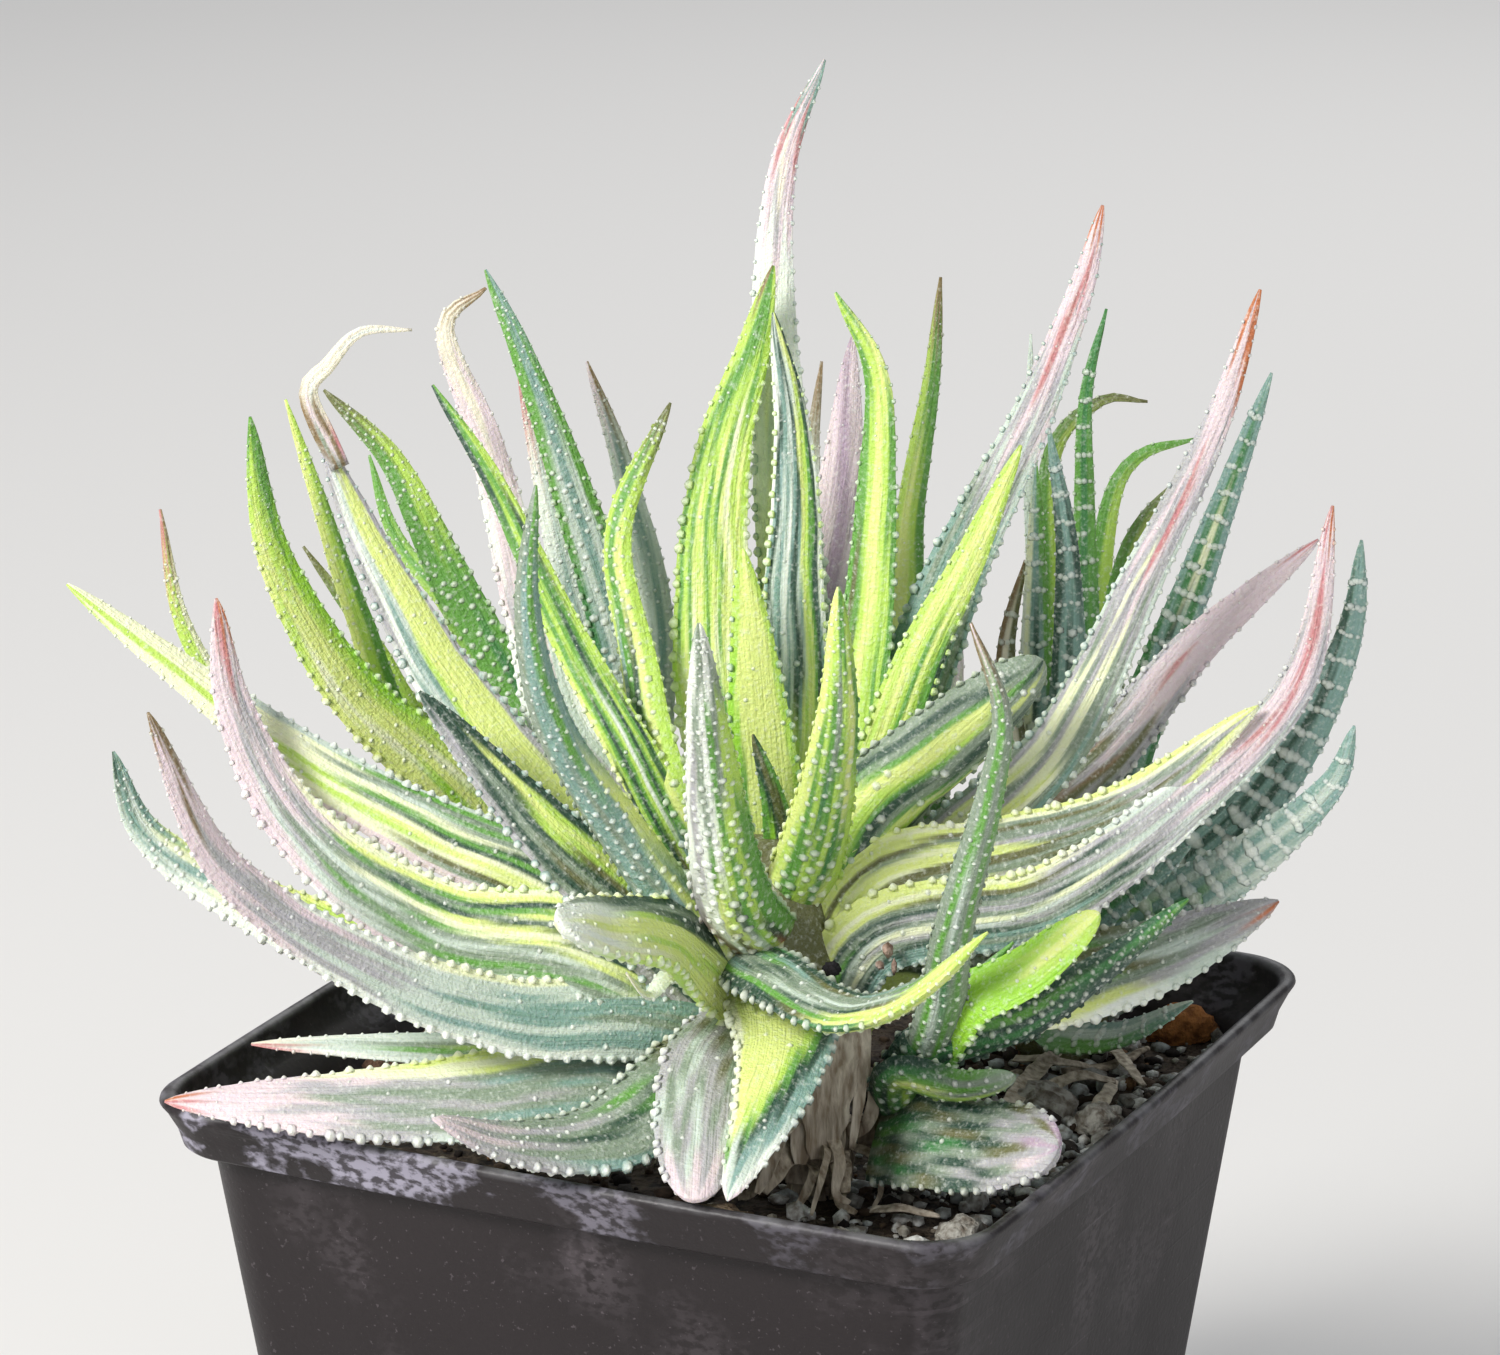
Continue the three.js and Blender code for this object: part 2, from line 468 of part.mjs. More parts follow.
// A rough stone or chip: a subdivided icosahedron with its corners moved. The
// same lump, grown a little, cuts its own pit in the soil.
function makeLump([, across, back, length, width, height, turn], detail, seed, grown) {
  const random = seededRandom(seed);
  const ball = new THREE.IcosahedronGeometry(1, detail);
  ball.deleteAttribute('normal');
  ball.deleteAttribute('uv');
  const lump = mergeVertices(ball, 1e-3);
  const place = lump.attributes.position;
  for (let i = 0; i < place.count; i += 1) {
    const half = (0.82 + 0.25 * random()) / 2;
    const x = place.getX(i) * (half * length + grown);
    const y = place.getY(i) * (half * width + grown);
    place.setXYZ(i, x, y, place.getZ(i) * (half * height + grown));
  }
  lump.rotateZ(THREE.MathUtils.degToRad(turn));
  lump.translate(across, back, SOIL_TOP + 0.9);
  return toSolid(lump);
}

const model = new THREE.Group();
const plants = new THREE.Group();
plants.rotation.z = PLANTS_TURN;

const pits = [];
function addLump(row, detail, color, roughness, seed) {
  plants.add(toMesh(row[0], makeLump(row, detail, seed, 0), color, roughness));
  pits.push(makeLump(row, detail, seed, PIT_CLEAR).rotate([0, 0, THREE.MathUtils.radToDeg(PLANTS_TURN)]));
}
PUMICE.forEach((row, i) => addLump(row, 1, 0xb9b4ac, 0.95, 31 + i));
BARK.forEach((row, i) => addLump(row, 0, i === 0 ? 0xa2602f : 0x4a3527, 0.9, 61 + i));
STRAWS.forEach(([name, width, midline]) => {
  plants.add(toMesh(name, makeStrip(width, 0.7, midline, [0, 0, 1]), 0xa99a82, 0.9));
});

const rearLeft = makeRosette(REAR_LEFT_LEAVES, makeOffsetCore(REAR_LEFT, 94));
const rearRight = makeRosette(REAR_RIGHT_LEAVES, makeOffsetCore(REAR_RIGHT, 92));
plants.add(toMesh('stem', makeStem(), 0x8d8068, 0.85));
plants.add(toMesh('main_rosette', makeRosette(MAIN_LEAVES, makeMainCore()), 0x9fbf55, 0.5));
plants.add(toMesh('rear_left_offset', rearLeft, 0x8fbf4a, 0.5));
plants.add(toMesh('rear_right_offset', rearRight, 0x3f6b4c, 0.5));
plants.add(toMesh('front_offset', makeRosette(FRONT_LEAVES, makeFrontCore()), 0x4d7a2a, 0.5));

model.add(toMesh('pot', makePot(), 0x3a3033, 0.6));
model.add(toMesh('soil', makeSoil(pits), 0x2c2019, 0.95));
model.add(plants);

export default model;
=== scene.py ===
"""A clump of variegated haworthia in its square nursery pot.

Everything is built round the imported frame, in the order in which the real thing is potted up: the
pot, the soil, what lies loose on it, the old stem, then the rosette and its offsets. Shapes are
worked out in millimetres, and add_piece takes them to the frame's metres.
"""

import bpy
import numpy as np
from mathutils import Matrix


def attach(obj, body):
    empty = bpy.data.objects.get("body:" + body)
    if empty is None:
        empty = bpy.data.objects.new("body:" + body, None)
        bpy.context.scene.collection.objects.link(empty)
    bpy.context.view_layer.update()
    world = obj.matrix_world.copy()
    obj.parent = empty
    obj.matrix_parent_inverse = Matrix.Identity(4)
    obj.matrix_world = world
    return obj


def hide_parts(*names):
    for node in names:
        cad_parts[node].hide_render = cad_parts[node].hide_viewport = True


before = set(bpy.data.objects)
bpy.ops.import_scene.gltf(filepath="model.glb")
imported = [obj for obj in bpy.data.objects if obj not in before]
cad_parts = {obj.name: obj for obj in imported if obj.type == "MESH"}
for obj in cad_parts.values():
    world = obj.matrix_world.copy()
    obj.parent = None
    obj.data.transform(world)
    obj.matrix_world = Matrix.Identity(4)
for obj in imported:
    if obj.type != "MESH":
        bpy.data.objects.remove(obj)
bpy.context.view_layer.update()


# --- Pot --------------------------------------------------
# A thin square nursery pot, injection moulded in brown-black polypropylene. It is one skin: the
# tapered wall, the rim band that steps out of it, the rounded lip, and the floor, which has four
# drain holes. Hard water has left a lavender-grey scale on the band.
MM = 0.001
POT_HEIGHT = 80
BAND_FOOT = 74.6
RIM_HALF = 45
LIP_RADIUS = 0.7
BODY_TOP_HALF = 40.9
BASE_HALF = 31.6
WALL = 1
FLOOR = 1.4
SIDE_BOW = 0.5
DRAIN_RADIUS = 3.5
DRAIN_OFFSET = 19
DRILL_REACH = 3


def full_turn(count):
    """Equal angles round a circle."""
    return np.linspace(0, 2 * np.pi, count, endpoint=False)


def circle(count):
    """Points of a level circle of radius one about the upright axis."""
    angle = full_turn(count)
    return np.stack([np.cos(angle), np.sin(angle), 0 * angle], -1)


def turned(points, angle):
    """The points turned about the upright axis: each pair x, y becomes x cos - y sin, x sin + y cos."""
    cos, sin = np.cos(angle), np.sin(angle)
    x, y, z = np.moveaxis(np.asarray(points, float), -1, 0)
    return np.stack([x * cos - y * sin, x * sin + y * cos, z], -1)


def square_ring(half, corner, height, bow, steps):
    """A square loop with round corners. Each quarter is a side, pushed out by bow times one minus
    the square of the place along it, then a quarter circle of the corner's radius."""
    along = np.linspace(-1, 1, steps + 2)[1:-1]
    angle = np.linspace(0, np.pi / 2, steps)
    straight = half - corner
    x = np.concatenate([half + bow * (1 - along**2), straight + corner * np.cos(angle)])
    y = np.concatenate([straight * along, straight + corner * np.sin(angle)])
    quarter = np.stack([x, y, np.full_like(x, height)], -1)
    return np.concatenate([turned(quarter, side * np.pi / 2) for side in range(4)])


def closed_skin(rings):
    """Points and faces of the skin over rings of equal point count: each ring is joined to the next
    by four-sided faces, and the first and last are closed by a fan to their middle point."""
    rings = np.asarray(rings)
    count, around = rings.shape[:2]
    ring, spoke = np.meshgrid(np.arange(count - 1), np.arange(around), indexing="ij")
    near = ring * around + spoke
    beside = ring * around + (spoke + 1) % around
    sides = np.stack([near, beside, beside + around, near + around], -1).reshape(-1, 4)
    edge = np.arange(around)
    after = (edge + 1) % around
    last = (count - 1) * around
    foot = np.stack([np.full(around, count * around), after, edge], -1)
    tip = np.stack([np.full(around, count * around + 1), last + edge, last + after], -1)
    points = np.concatenate([rings.reshape(-1, 3), rings[:1].mean(1), rings[-1:].mean(1)])
    return points, [sides, foot, tip]


def linked(name, data):
    """A new object in the scene that shows the data."""
    thing = bpy.data.objects.new(name, data)
    bpy.context.scene.collection.objects.link(thing)
    return thing


def add_piece(name, points, faces, finish, slot, node, turn=0.0, **point_values):
    """A smooth piece in the frame, turned about the upright axis, riding on the root body and
    standing for its CAD node. Each of the point values, one for all or one a point, is kept as an
    attribute: paint is a colour and any other a vector."""
    mesh = bpy.data.meshes.new(name)
    corners = (turned(points, turn) * MM).tolist()
    mesh.from_pydata(corners, [], [face for group in faces for face in group.tolist()])
    for key, values in point_values.items():
        values, kind, field = np.broadcast_to(values, (len(points), 3)), "FLOAT_VECTOR", "vector"
        if key == "paint":
            values, kind, field = np.insert(values, 3, 1.0, axis=1), "FLOAT_COLOR", "color"
        layer = mesh.attributes.new(key, kind, "POINT")
        layer.data.foreach_set(field, values.astype(np.float32).ravel())
    mesh.shade_smooth()
    mesh.materials.append(finish)
    piece = linked(name, mesh)
    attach(piece, "root")
    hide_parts(node)
    return piece


class Wire:
    """One socket in a material. Python's operators on it add the Math nodes that do the same."""

    def __init__(self, tree, socket):
        self.tree = tree
        self.socket = socket

    def node(self, kind, values=(), output=0, stops=(), **settings):
        """Adds a node of this kind. Its settings and ramp stops come first, then each socket's
        number, colour, or the wire that feeds it."""
        made = self.tree.nodes.new("ShaderNode" + kind)
        for key, value in settings.items():
            setattr(made, key, value)
        for place, (position, colour) in enumerate(stops):
            if place > 1:
                made.color_ramp.elements.new(position)
            made.color_ramp.elements[place].position = position
            made.color_ramp.elements[place].color = colour
        for key, value in dict(values).items():
            if isinstance(value, Wire):
                self.tree.links.new(value.socket, made.inputs[key])
            else:
                made.inputs[key].default_value = value
        return Wire(self.tree, made.outputs[output])

    def math(self, operation, *values):
        return self.node("Math", enumerate((self, *values)), operation=operation)

    def __add__(self, other):
        return self.math("ADD", other)

    __radd__ = __add__

    def __mul__(self, other):
        return self.math("MULTIPLY", other)

    __rmul__ = __mul__

    def __sub__(self, other):
        return self.math("SUBTRACT", other)

    def __rsub__(self, other):
        return -1 * self + other

    def ramp(self, low, high):
        """Rises from 0 to 1 as the wire goes from low to high."""
        return self.node("MapRange", {"Value": self, "From Min": low, "From Max": high})

    def mixed(self, first, second):
        """The first colour where this wire is 0 and the second where it is 1."""
        return self.node("Mix", {0: self, 6: first, 7: second}, output=2, data_type="RGBA")

    def tinted(self, tint):
        """This colour times another, channel by channel."""
        values = {0: 1.0, 6: self, 7: tint}
        return self.node("Mix", values, output=2, data_type="RGBA", blend_type="MULTIPLY")

    def noise(self, scale, detail, stretch=(1, 1, 1)):
        """Soft noise at these coordinates, with its grains stretched by a vector of scales."""
        place = self.node("VectorMath", {0: self, 1: stretch}, operation="MULTIPLY")
        return self.node("TexNoise", {"Vector": place, "Scale": scale, "Detail": detail})


def new_finish(name, **fixed):
    """A material with one Principled shader, and its coordinates as a wire. The fixed values are
    those that are the same all over."""
    finish = bpy.data.materials.new(name)
    finish.use_nodes = True
    tree = finish.node_tree
    shader = tree.nodes["Principled BSDF"]
    for key, value in fixed.items():
        shader.inputs[key.replace("_", " ")].default_value = value
    return finish, Wire(tree, tree.nodes.new("ShaderNodeTexCoord").outputs["Object"])


def feed(finish, **wires):
    """Links wires to the shader's sockets and returns the material. A bump is (height wire,
    strength, depth in metres)."""
    shader = finish.node_tree.nodes["Principled BSDF"]
    for key, wire in wires.items():
        if key == "Bump":
            height, strength, depth = wire
            values = {"Height": height, "Strength": strength, "Distance": depth}
            key, wire = "Normal", height.node("Bump", values)
        finish.node_tree.links.new(wire.socket, shader.inputs[key.replace("_", " ")])
    return finish


def moulded_plastic():
    """Matte brown-black plastic. Scale gathers on the band where soft noise is high, most at the
    front left; thin streaks run down the wall and scratches across it, under specks and haze."""
    finish, spot = new_finish("moulded_plastic", Specular_IOR_Level=0.28)
    x, y, z = (spot.node("SeparateXYZ", {0: spot}, output=axis) for axis in range(3))
    band = z.ramp((BAND_FOOT - 0.6) * MM, (BAND_FOOT + 0.2) * MM)
    lip = z.ramp((POT_HEIGHT - 0.9) * MM, (POT_HEIGHT - 0.1) * MM)
    front = (-1 * y).ramp(0.036, 0.043) * (-1 * x).ramp(-0.03, 0.02)
    left = (-1 * x).ramp(-0.02, 0.012)
    blotch = (spot.noise(120, 12, (1, 1, 1.6)) + 0.06 * front * left).ramp(0.515, 0.575)
    grain = spot.noise(820, 6, (1, 1, 1.5)).ramp(0.42, 0.56)
    film = spot.noise(60, 6, (1, 1, 0.7)).ramp(0.5, 0.72)
    scale = band * blotch * (0.12 + 0.88 * grain) * (0.15 + 0.35 * front + 0.5 * front * left)
    streak = spot.noise(900, 3, (0.25, 0.25, 0.035)).ramp(0.58, 0.75)
    scratch = spot.noise(420, 2, (0.05, 0.05, 1.6)).ramp(0.64, 0.70)
    speck = spot.noise(1900, 2).ramp(0.66, 0.74)
    marks = 0.3 * film * grain + 0.3 * streak * film + 0.3 * scratch * film + 0.3 * speck
    tone = spot.noise(28, 3).mixed((0.011, 0.0085, 0.0095, 1), (0.024, 0.0185, 0.020, 1))
    hazed = marks.math("MINIMUM", 1).mixed(tone, (0.17, 0.145, 0.16, 1))
    limed = (0.8 * scale).mixed(hazed, (0.46, 0.44, 0.54, 1))
    worn = 0.5 * lip * spot.noise(260, 4).ramp(0.42, 0.62)
    return feed(
        finish,
        Base_Color=worn.mixed(limed, (0.2, 0.2, 0.21, 1)),
        Roughness=0.4 + 0.2 * spot.noise(60, 3) + 0.3 * scale - 0.1 * lip,
        Bump=(spot.noise(1500, 3) + 0.7 * scale + 0.5 * scratch, 0.3, 0.16 * MM),
    )


# The pot's skin from under its foot, up the outside, over the lip and down the inside to the
# floor. Each ring is half its width, its corners' radius, its height and the bow of its sides.
pot_profile = [
    (BASE_HALF - 1.2, 4.2, 0, 0),
    (BASE_HALF - 0.35, 4.8, 0.25, 0),
    (BASE_HALF, 5, 1, 0),
    *[
        (BASE_HALF + (BODY_TOP_HALF - BASE_HALF) * up, 5 + 1.1 * up, BAND_FOOT * up, SIDE_BOW * up)
        for up in (0.2, 0.4, 0.6, 0.8, 0.99)
    ],
    (BODY_TOP_HALF, 6.1, BAND_FOOT - 0.3, SIDE_BOW),
    (BODY_TOP_HALF + 0.4, 6.2, BAND_FOOT, SIDE_BOW),
    (RIM_HALF - 2, 6.7, BAND_FOOT, SIDE_BOW),
    (RIM_HALF - 1.75, 6.8, BAND_FOOT + 0.25, SIDE_BOW),
    (RIM_HALF - 1.3, 7, BAND_FOOT + 2, SIDE_BOW),
    (RIM_HALF - 0.4, 7.3, BAND_FOOT + 4, SIDE_BOW),
    *[
        (RIM_HALF + LIP_RADIUS * (np.cos(a) - 1), 7.3, POT_HEIGHT + LIP_RADIUS * (np.sin(a) - 1), SIDE_BOW)
        for a in np.linspace(0, np.pi, 9)
    ],
    (RIM_HALF - 2, 6.2, POT_HEIGHT - 3, SIDE_BOW),
    (RIM_HALF - 2.8, 5.8, POT_HEIGHT - 4, SIDE_BOW),
    (BODY_TOP_HALF - WALL, 5.1, BAND_FOOT - 0.4, SIDE_BOW),
    (BASE_HALF - WALL + 0.2, 4, FLOOR + 0.4, 0),
    (BASE_HALF - WALL - 0.4, 3.6, FLOOR, 0),
]
pot_rings = [square_ring(*ring, steps=14) for ring in pot_profile]
pot = add_piece("pot_shell", *closed_skin(pot_rings), moulded_plastic(), "pot_plastic", "pot")


def pierce(piece, centres, radius, reach):
    """Cuts round holes up through the floor, by taking upright cylinders from the piece that reach
    as far above the ground as below."""
    disc = circle(24) * radius
    drills = [closed_skin([disc + (x, y, -reach), disc + (x, y, reach)]) for x, y in centres]
    size = len(drills[0][0])
    faces = [face + at * size for at, (_, groups) in enumerate(drills) for group in groups for face in group]
    mesh = bpy.data.meshes.new("drill")
    mesh.from_pydata((np.concatenate([points for points, _ in drills]) * MM).tolist(), [], faces)
    drill = linked("drill", mesh)
    cut = piece.modifiers.new("holes", "BOOLEAN")
    cut.object = drill
    cut.solver = "EXACT"
    view = bpy.context.evaluated_depsgraph_get()
    solid = bpy.data.meshes.new_from_object(piece.evaluated_get(view))
    piece.modifiers.clear()
    piece.data = solid
    bpy.data.objects.remove(drill)


corners = [(x, y) for x in (-DRAIN_OFFSET, DRAIN_OFFSET) for y in (-DRAIN_OFFSET, DRAIN_OFFSET)]
pierce(pot, corners, DRAIN_RADIUS, DRILL_REACH)


# --- Soil -------------------------------------------------
# Dark gritty potting mix of peat, bark dust and crushed pumice, pressed into the pot to a little
# under the lip. It is a plug that fills the pot, with a crumbly top.
SOIL_TOP = 72.4
SOIL_GAP = 0.3
SOIL_CORNER = 5
MOUND_HEIGHT = 0.45
MOUND_LENGTHS = (21, 13, 8, 5, 3.1, 1.9)


def soil_level(x, y):
    """Height of the soil's top, in low mounds: a sum of crossed waves whose length falls and whose
    turn changes from one to the next, scaled to the mounds' height."""
    total = 0
    for step, length in enumerate(MOUND_LENGTHS):
        turn = 1.3 * step
        across = x * np.cos(turn) + y * np.sin(turn)
        back = y * np.cos(turn) - x * np.sin(turn)
        wave = np.sin(2 * np.pi * across / length + step) * np.sin(2 * np.pi * back / (length * 1.2))
        total = total + wave * length / MOUND_LENGTHS[0]
    return SOIL_TOP + total * MOUND_HEIGHT


def damp_mix():
    """Dark brown mix: crumbs from two sizes of noise, ringed with a paler brown."""
    finish, spot = new_finish("damp_mix", Specular_IOR_Level=0.3)
    crumbs = spot.noise(700, 6)
    dark, pale, brown = (0.010, 0.007, 0.006, 1), (0.085, 0.0635, 0.0455, 1), (0.035, 0.023, 0.016, 1)
    return feed(
        finish,
        Base_Color=crumbs.node("ValToRGB", {0: crumbs}, stops=[(0.35, dark), (0.55, pale), (0.55, brown)]),
        Roughness=0.8 + 0.2 * crumbs,
        Bump=(crumbs + spot.noise(260, 3), 0.9, 0.8 * MM),
    )


soil_half = BASE_HALF + (BODY_TOP_HALF - BASE_HALF) * SOIL_TOP / BAND_FOOT - WALL - SOIL_GAP
soil_rings = [
    square_ring(BASE_HALF - WALL - 0.4, 4, FLOOR + SOIL_GAP, 0, 16),
    square_ring(soil_half, SOIL_CORNER, SOIL_TOP - 0.8, SIDE_BOW, 16),
]
for share in np.linspace(0.98, 0.03, 34):
    ring = square_ring(soil_half * share, SOIL_CORNER * share, SOIL_TOP, SIDE_BOW * share, 16)
    ring[:, 2] = soil_level(ring[:, 0], ring[:, 1])
    soil_rings.append(ring)
add_piece("soil_plug", *closed_skin(soil_rings), damp_mix(), "potting_mix", "soil")


def rough_lumps(centres, sizes, seed, detail, sink):
    """Points and faces of many rough lumps: a ball with each corner moved in or out at random, then
    stretched to the lump's three sizes, turned about the upright axis and set down at its centre,
    sunk by a share of its height."""
    random = np.random.default_rng(seed)
    bpy.ops.mesh.primitive_ico_sphere_add(subdivisions=detail, radius=1)
    ball = bpy.context.object
    corners = np.array([corner.co[:] for corner in ball.data.vertices])
    triangles = np.array([face.vertices[:] for face in ball.data.polygons])
    bpy.data.objects.remove(ball)
    centres, sizes = np.asarray(centres)[:, None], np.asarray(sizes)[:, None]
    count = len(centres)
    rough = corners * random.uniform(0.72, 1.08, (count, len(corners), 1)) * sizes / 2
    points = turned(rough, random.uniform(0, 2 * np.pi, (count, 1))) + centres
    points[..., 2] += sizes[..., 2] / 2 * (1 - 2 * sink)
    faces = triangles + np.arange(count)[:, None, None] * len(corners)
    return points.reshape(-1, 3), [faces.reshape(-1, 3)]


def painted_rough(name, bump=0.5):
    """Dry mineral or bark: the piece's own paint, mottled by noise, with a gritty bump."""
    finish, spot = new_finish(name, Specular_IOR_Level=0.3)
    own = spot.node("Attribute", output=0, attribute_name="paint")
    mottle = spot.noise(900, 5)
    return feed(
        finish,
        Base_Color=mottle.ramp(0.35, 0.6).mixed(own.tinted((0.35, 0.3, 0.26, 1)), own),
        Roughness=0.75 + 0.25 * mottle,
        Bump=(mottle + spot.noise(2600, 2), bump, 0.4 * MM),
    )


def strew(name, place, sizes, largest, longest, paints, seed, sink):
    """Loose crumbs on the soil's top at these places. Their sizes follow a gamma curve, held between
    half a millimetre and the largest, and each is up to the longest times its size from end to end.
    The paints are the share of the crumbs and the colour of each sort."""
    count = len(place)
    size = grit_random.gamma(*sizes, (count, 1)).clip(0.5, largest)
    shape = size * grit_random.uniform([0.8, 0.6, 0.5], [longest, 1.1, 0.9], (count, 3))
    shares, colours = zip(*paints)
    sort = grit_random.choice(len(paints), count, p=shares)
    level = soil_level(place[:, 0], place[:, 1])
    points, faces = rough_lumps(np.column_stack([place, level]), shape, seed, 1, sink)
    paint = np.repeat(np.array(colours)[sort], len(points) // count, 0)
    add_piece(name, points, faces, grit_finish, "potting_mix", "soil", paint=paint)


# Crumbs of the mix lie loose all over its top, from dark bark dust to pale crushed pumice. They
# are pressed in, so each sits a third of its height deep.
GRIT_COUNT = 1500
grit_random = np.random.default_rng(5)
grit_finish = painted_rough("loose_grit")
grit_place = grit_random.uniform(-0.97, 0.97, (GRIT_COUNT, 2)) * soil_half
GRIT_PAINTS = [
    (0.3, (0.016, 0.011, 0.009)), (0.3, (0.05, 0.033, 0.022)), (0.2, (0.11, 0.075, 0.05)),
    (0.13, (0.4, 0.38, 0.33)), (0.07, (0.24, 0.14, 0.07)),
]
strew("soil_grit", grit_place, (2.6, 0.42), 3.2, 1.5, GRIT_PAINTS, 6, 0.33)
# Pale pumice crumbs have gathered in the open right side of the pot.
DRIFT_COUNT = 900
drift_place = grit_random.normal([[26.5, 4]], [[8, 19]], (DRIFT_COUNT, 2)).clip(-38, 37.5)
DRIFT_PAINTS = [
    (0.44, (0.72, 0.74, 0.72)), (0.3, (0.46, 0.5, 0.5)), (0.16, (0.26, 0.26, 0.24)),
    (0.1, (0.05, 0.04, 0.035)),
]
strew("soil_pale_grit", drift_place, (3.0, 0.48), 3.8, 1.4, DRIFT_PAINTS, 8, 0.3)


# --- Loose pieces on the soil -----------------------------
# Crushed pumice and weathered bark chips as they fell on the mix, each bedded in it a little. One
# fresh orange-brown chip leans in the far corner. They are placed in the plants' own axes, across
# and towards the back, which are turned from the pot's.
PLANTS_TURN = np.radians(26)
STONE_LIFT = 0.9
PUMICE_GREY = (0.42, 0.41, 0.37)


def loose_piece(name, place, size, turn, paint, finish, slot, seed):
    """One rough lump at its place across and towards the back, with a turn of its own."""
    points, faces = rough_lumps([(0, 0, 0)], [size], seed, 3, 0.5)
    centre = turned((*place, 0), PLANTS_TURN) + (0, 0, SOIL_TOP + STONE_LIFT)
    points = turned(points, np.radians(turn)) + centre
    add_piece(name + "_stone", points, faces, finish, slot, name, paint=paint)


stone_finish = painted_rough("crushed_pumice", 0.8)
chip_finish = painted_rough("weathered_bark", 0.8)
PUMICE = [
    ("pumice_1", (30.5, -4), (8, 6, 5), 20),
    ("pumice_2", (36, -8.5), (6, 5, 4), 80),
    ("pumice_3", (27, -12), (5, 4, 4), 40),
    ("pumice_4", (21, -39), (6, 5, 4), 10),
    ("pumice_5", (9, -42), (5, 4, 4), 65),
]
for seed, (name, place, size, turn) in enumerate(PUMICE, 31):
    loose_piece(name, place, size, turn, PUMICE_GREY, stone_finish, "pumice", seed)
BARK = [
    ("bark_1", (46, 18.2), (8, 4, 6), -26, (0.42, 0.17, 0.05)),
    ("bark_2", (-38, -3), (10, 6, 4), -20, (0.09, 0.055, 0.035)),
    ("bark_3", (-26, -27), (8, 5, 4), -26, (0.13, 0.075, 0.045)),
    ("bark_4", (-2, -36), (7, 5, 4), 75, (0.30, 0.22, 0.15)),
    ("bark_5", (10, 34), (11, 6, 4), 15, (0.10, 0.06, 0.035)),
    ("bark_6", (-35.5, 9), (8, 5, 4), 50, (0.12, 0.07, 0.045)),
]
for seed, (name, place, size, turn, paint) in enumerate(BARK, 61):
    loose_piece(name, place, size, turn, paint, chip_finish, "bark", seed)


# --- Dry straw --------------------------------------------
# Two dead, flattened leaf strips that have dried grey-beige and lie on the grit at the right.
def unit(vectors):
    """The vectors at a length of one."""
    return vectors / np.maximum(np.linalg.norm(vectors, axis=-1, keepdims=True), 1e-9)


def carried_along(midrib, looks, share):
    """Place, direction, side and up at shares of the length of the smooth curve through the marks,
    a uniform Catmull-Rom spline whose ends are reflected, and its length. Up is what the upper face
    looks towards less its part along the curve, and side is direction times up."""
    marks = np.array(midrib, float)
    marks = np.concatenate([2 * marks[:1] - marks[1:2], marks, 2 * marks[-1:] - marks[-2:-1]])
    span = np.linspace(0, len(midrib) - 1, 400)
    start = np.minimum(span.astype(int), len(midrib) - 2)
    part = (span - start)[:, None]
    a, b, c, d = (marks[start + step] for step in range(4))
    curve = b + 0.5 * part * (c - a + part * (2 * a - 5 * b + 4 * c - d + part * (3 * (b - c) + d - a)))
    run = np.concatenate([[0], np.cumsum(np.linalg.norm(np.diff(curve, axis=0), axis=1))])
    heading = np.gradient(curve, run, axis=0)
    place, along = (
        np.stack([np.interp(share * run[-1], run, axis) for axis in values.T], -1)
        for values in (curve, heading)
    )
    along = unit(along)
    up = unit(np.array(looks) - along * (along @ np.array(looks))[..., None])
    return place, along, np.cross(along, up), up, run[-1]


def dry_strip(width, thickness, midline, looks, seed, curl):
    """Skin of a dead strip: a thin lens across the curve, narrowing to its end, crinkled by sines
    and hollowed across by the curl's share of its width."""
    random = np.random.default_rng(seed)
    share, angle = np.meshgrid(np.linspace(0, 1, 26), full_turn(20), indexing="ij")
    place, _, side, up, length = carried_along(midline, looks, share)
    waist = 1 + 0.08 * np.sin(share * length * 1.9 + random.uniform(0, 6))
    half = width / 2 * (1 - 0.6 * share**3) * waist
    across = -np.cos(angle) * half
    phase = random.uniform(0, 6, 3)
    crinkle = 0.12 * np.sin(share * length * 1.7 + phase[0]) + 0.1 * np.sin(across * 4 + phase[1])
    rise = np.sin(angle) * thickness / 2 + crinkle * 0.5 + curl * width * (across / half) ** 2
    return closed_skin(place + side * across[..., None] + up * rise[..., None])


def lay_strips(name, rows, seed, thickness, looks, finish, slot, node, curl=0.0):
    """A dry strip for each row of width, midline and, if it has one, its own curl. They are numbered
    from 1 in the name, and in the node where that has a gap for it."""
    for number, (width, midline, *own_curl) in enumerate(rows, 1):
        strip = dry_strip(width, thickness, midline, looks, seed + number, *(own_curl or [curl]))
        add_piece(name.format(number), *strip, finish, slot, node.format(number), PLANTS_TURN)


def dry_tissue(name, pale, dark):
    """Papery dead leaf: fibres from noise drawn out upright, in two tones."""
    finish, spot = new_finish(name, Specular_IOR_Level=0.25)
    fibre = spot.noise(900, 4, (1.5, 1.5, 0.25))
    patch = spot.noise(260, 3)
    return feed(
        finish,
        Base_Color=(fibre.ramp(0.35, 0.65) * (0.4 + patch)).mixed((*dark, 1), (*pale, 1)),
        Roughness=0.7 + 0.2 * fibre,
        Bump=(fibre + 0.5 * patch, 0.9, 0.35 * MM),
    )


straw_finish = dry_tissue("dry_straw", (0.52, 0.45, 0.35), (0.2, 0.16, 0.12))
STRAWS = [
    (2.4, [(22, -6, 73.3), (24, 1, 73.3), (28.5, 6, 73.3)]),
    (1.8, [(33, 5, 73.6), (38, 7, 73.6), (42, 12, 73.6)]),
]
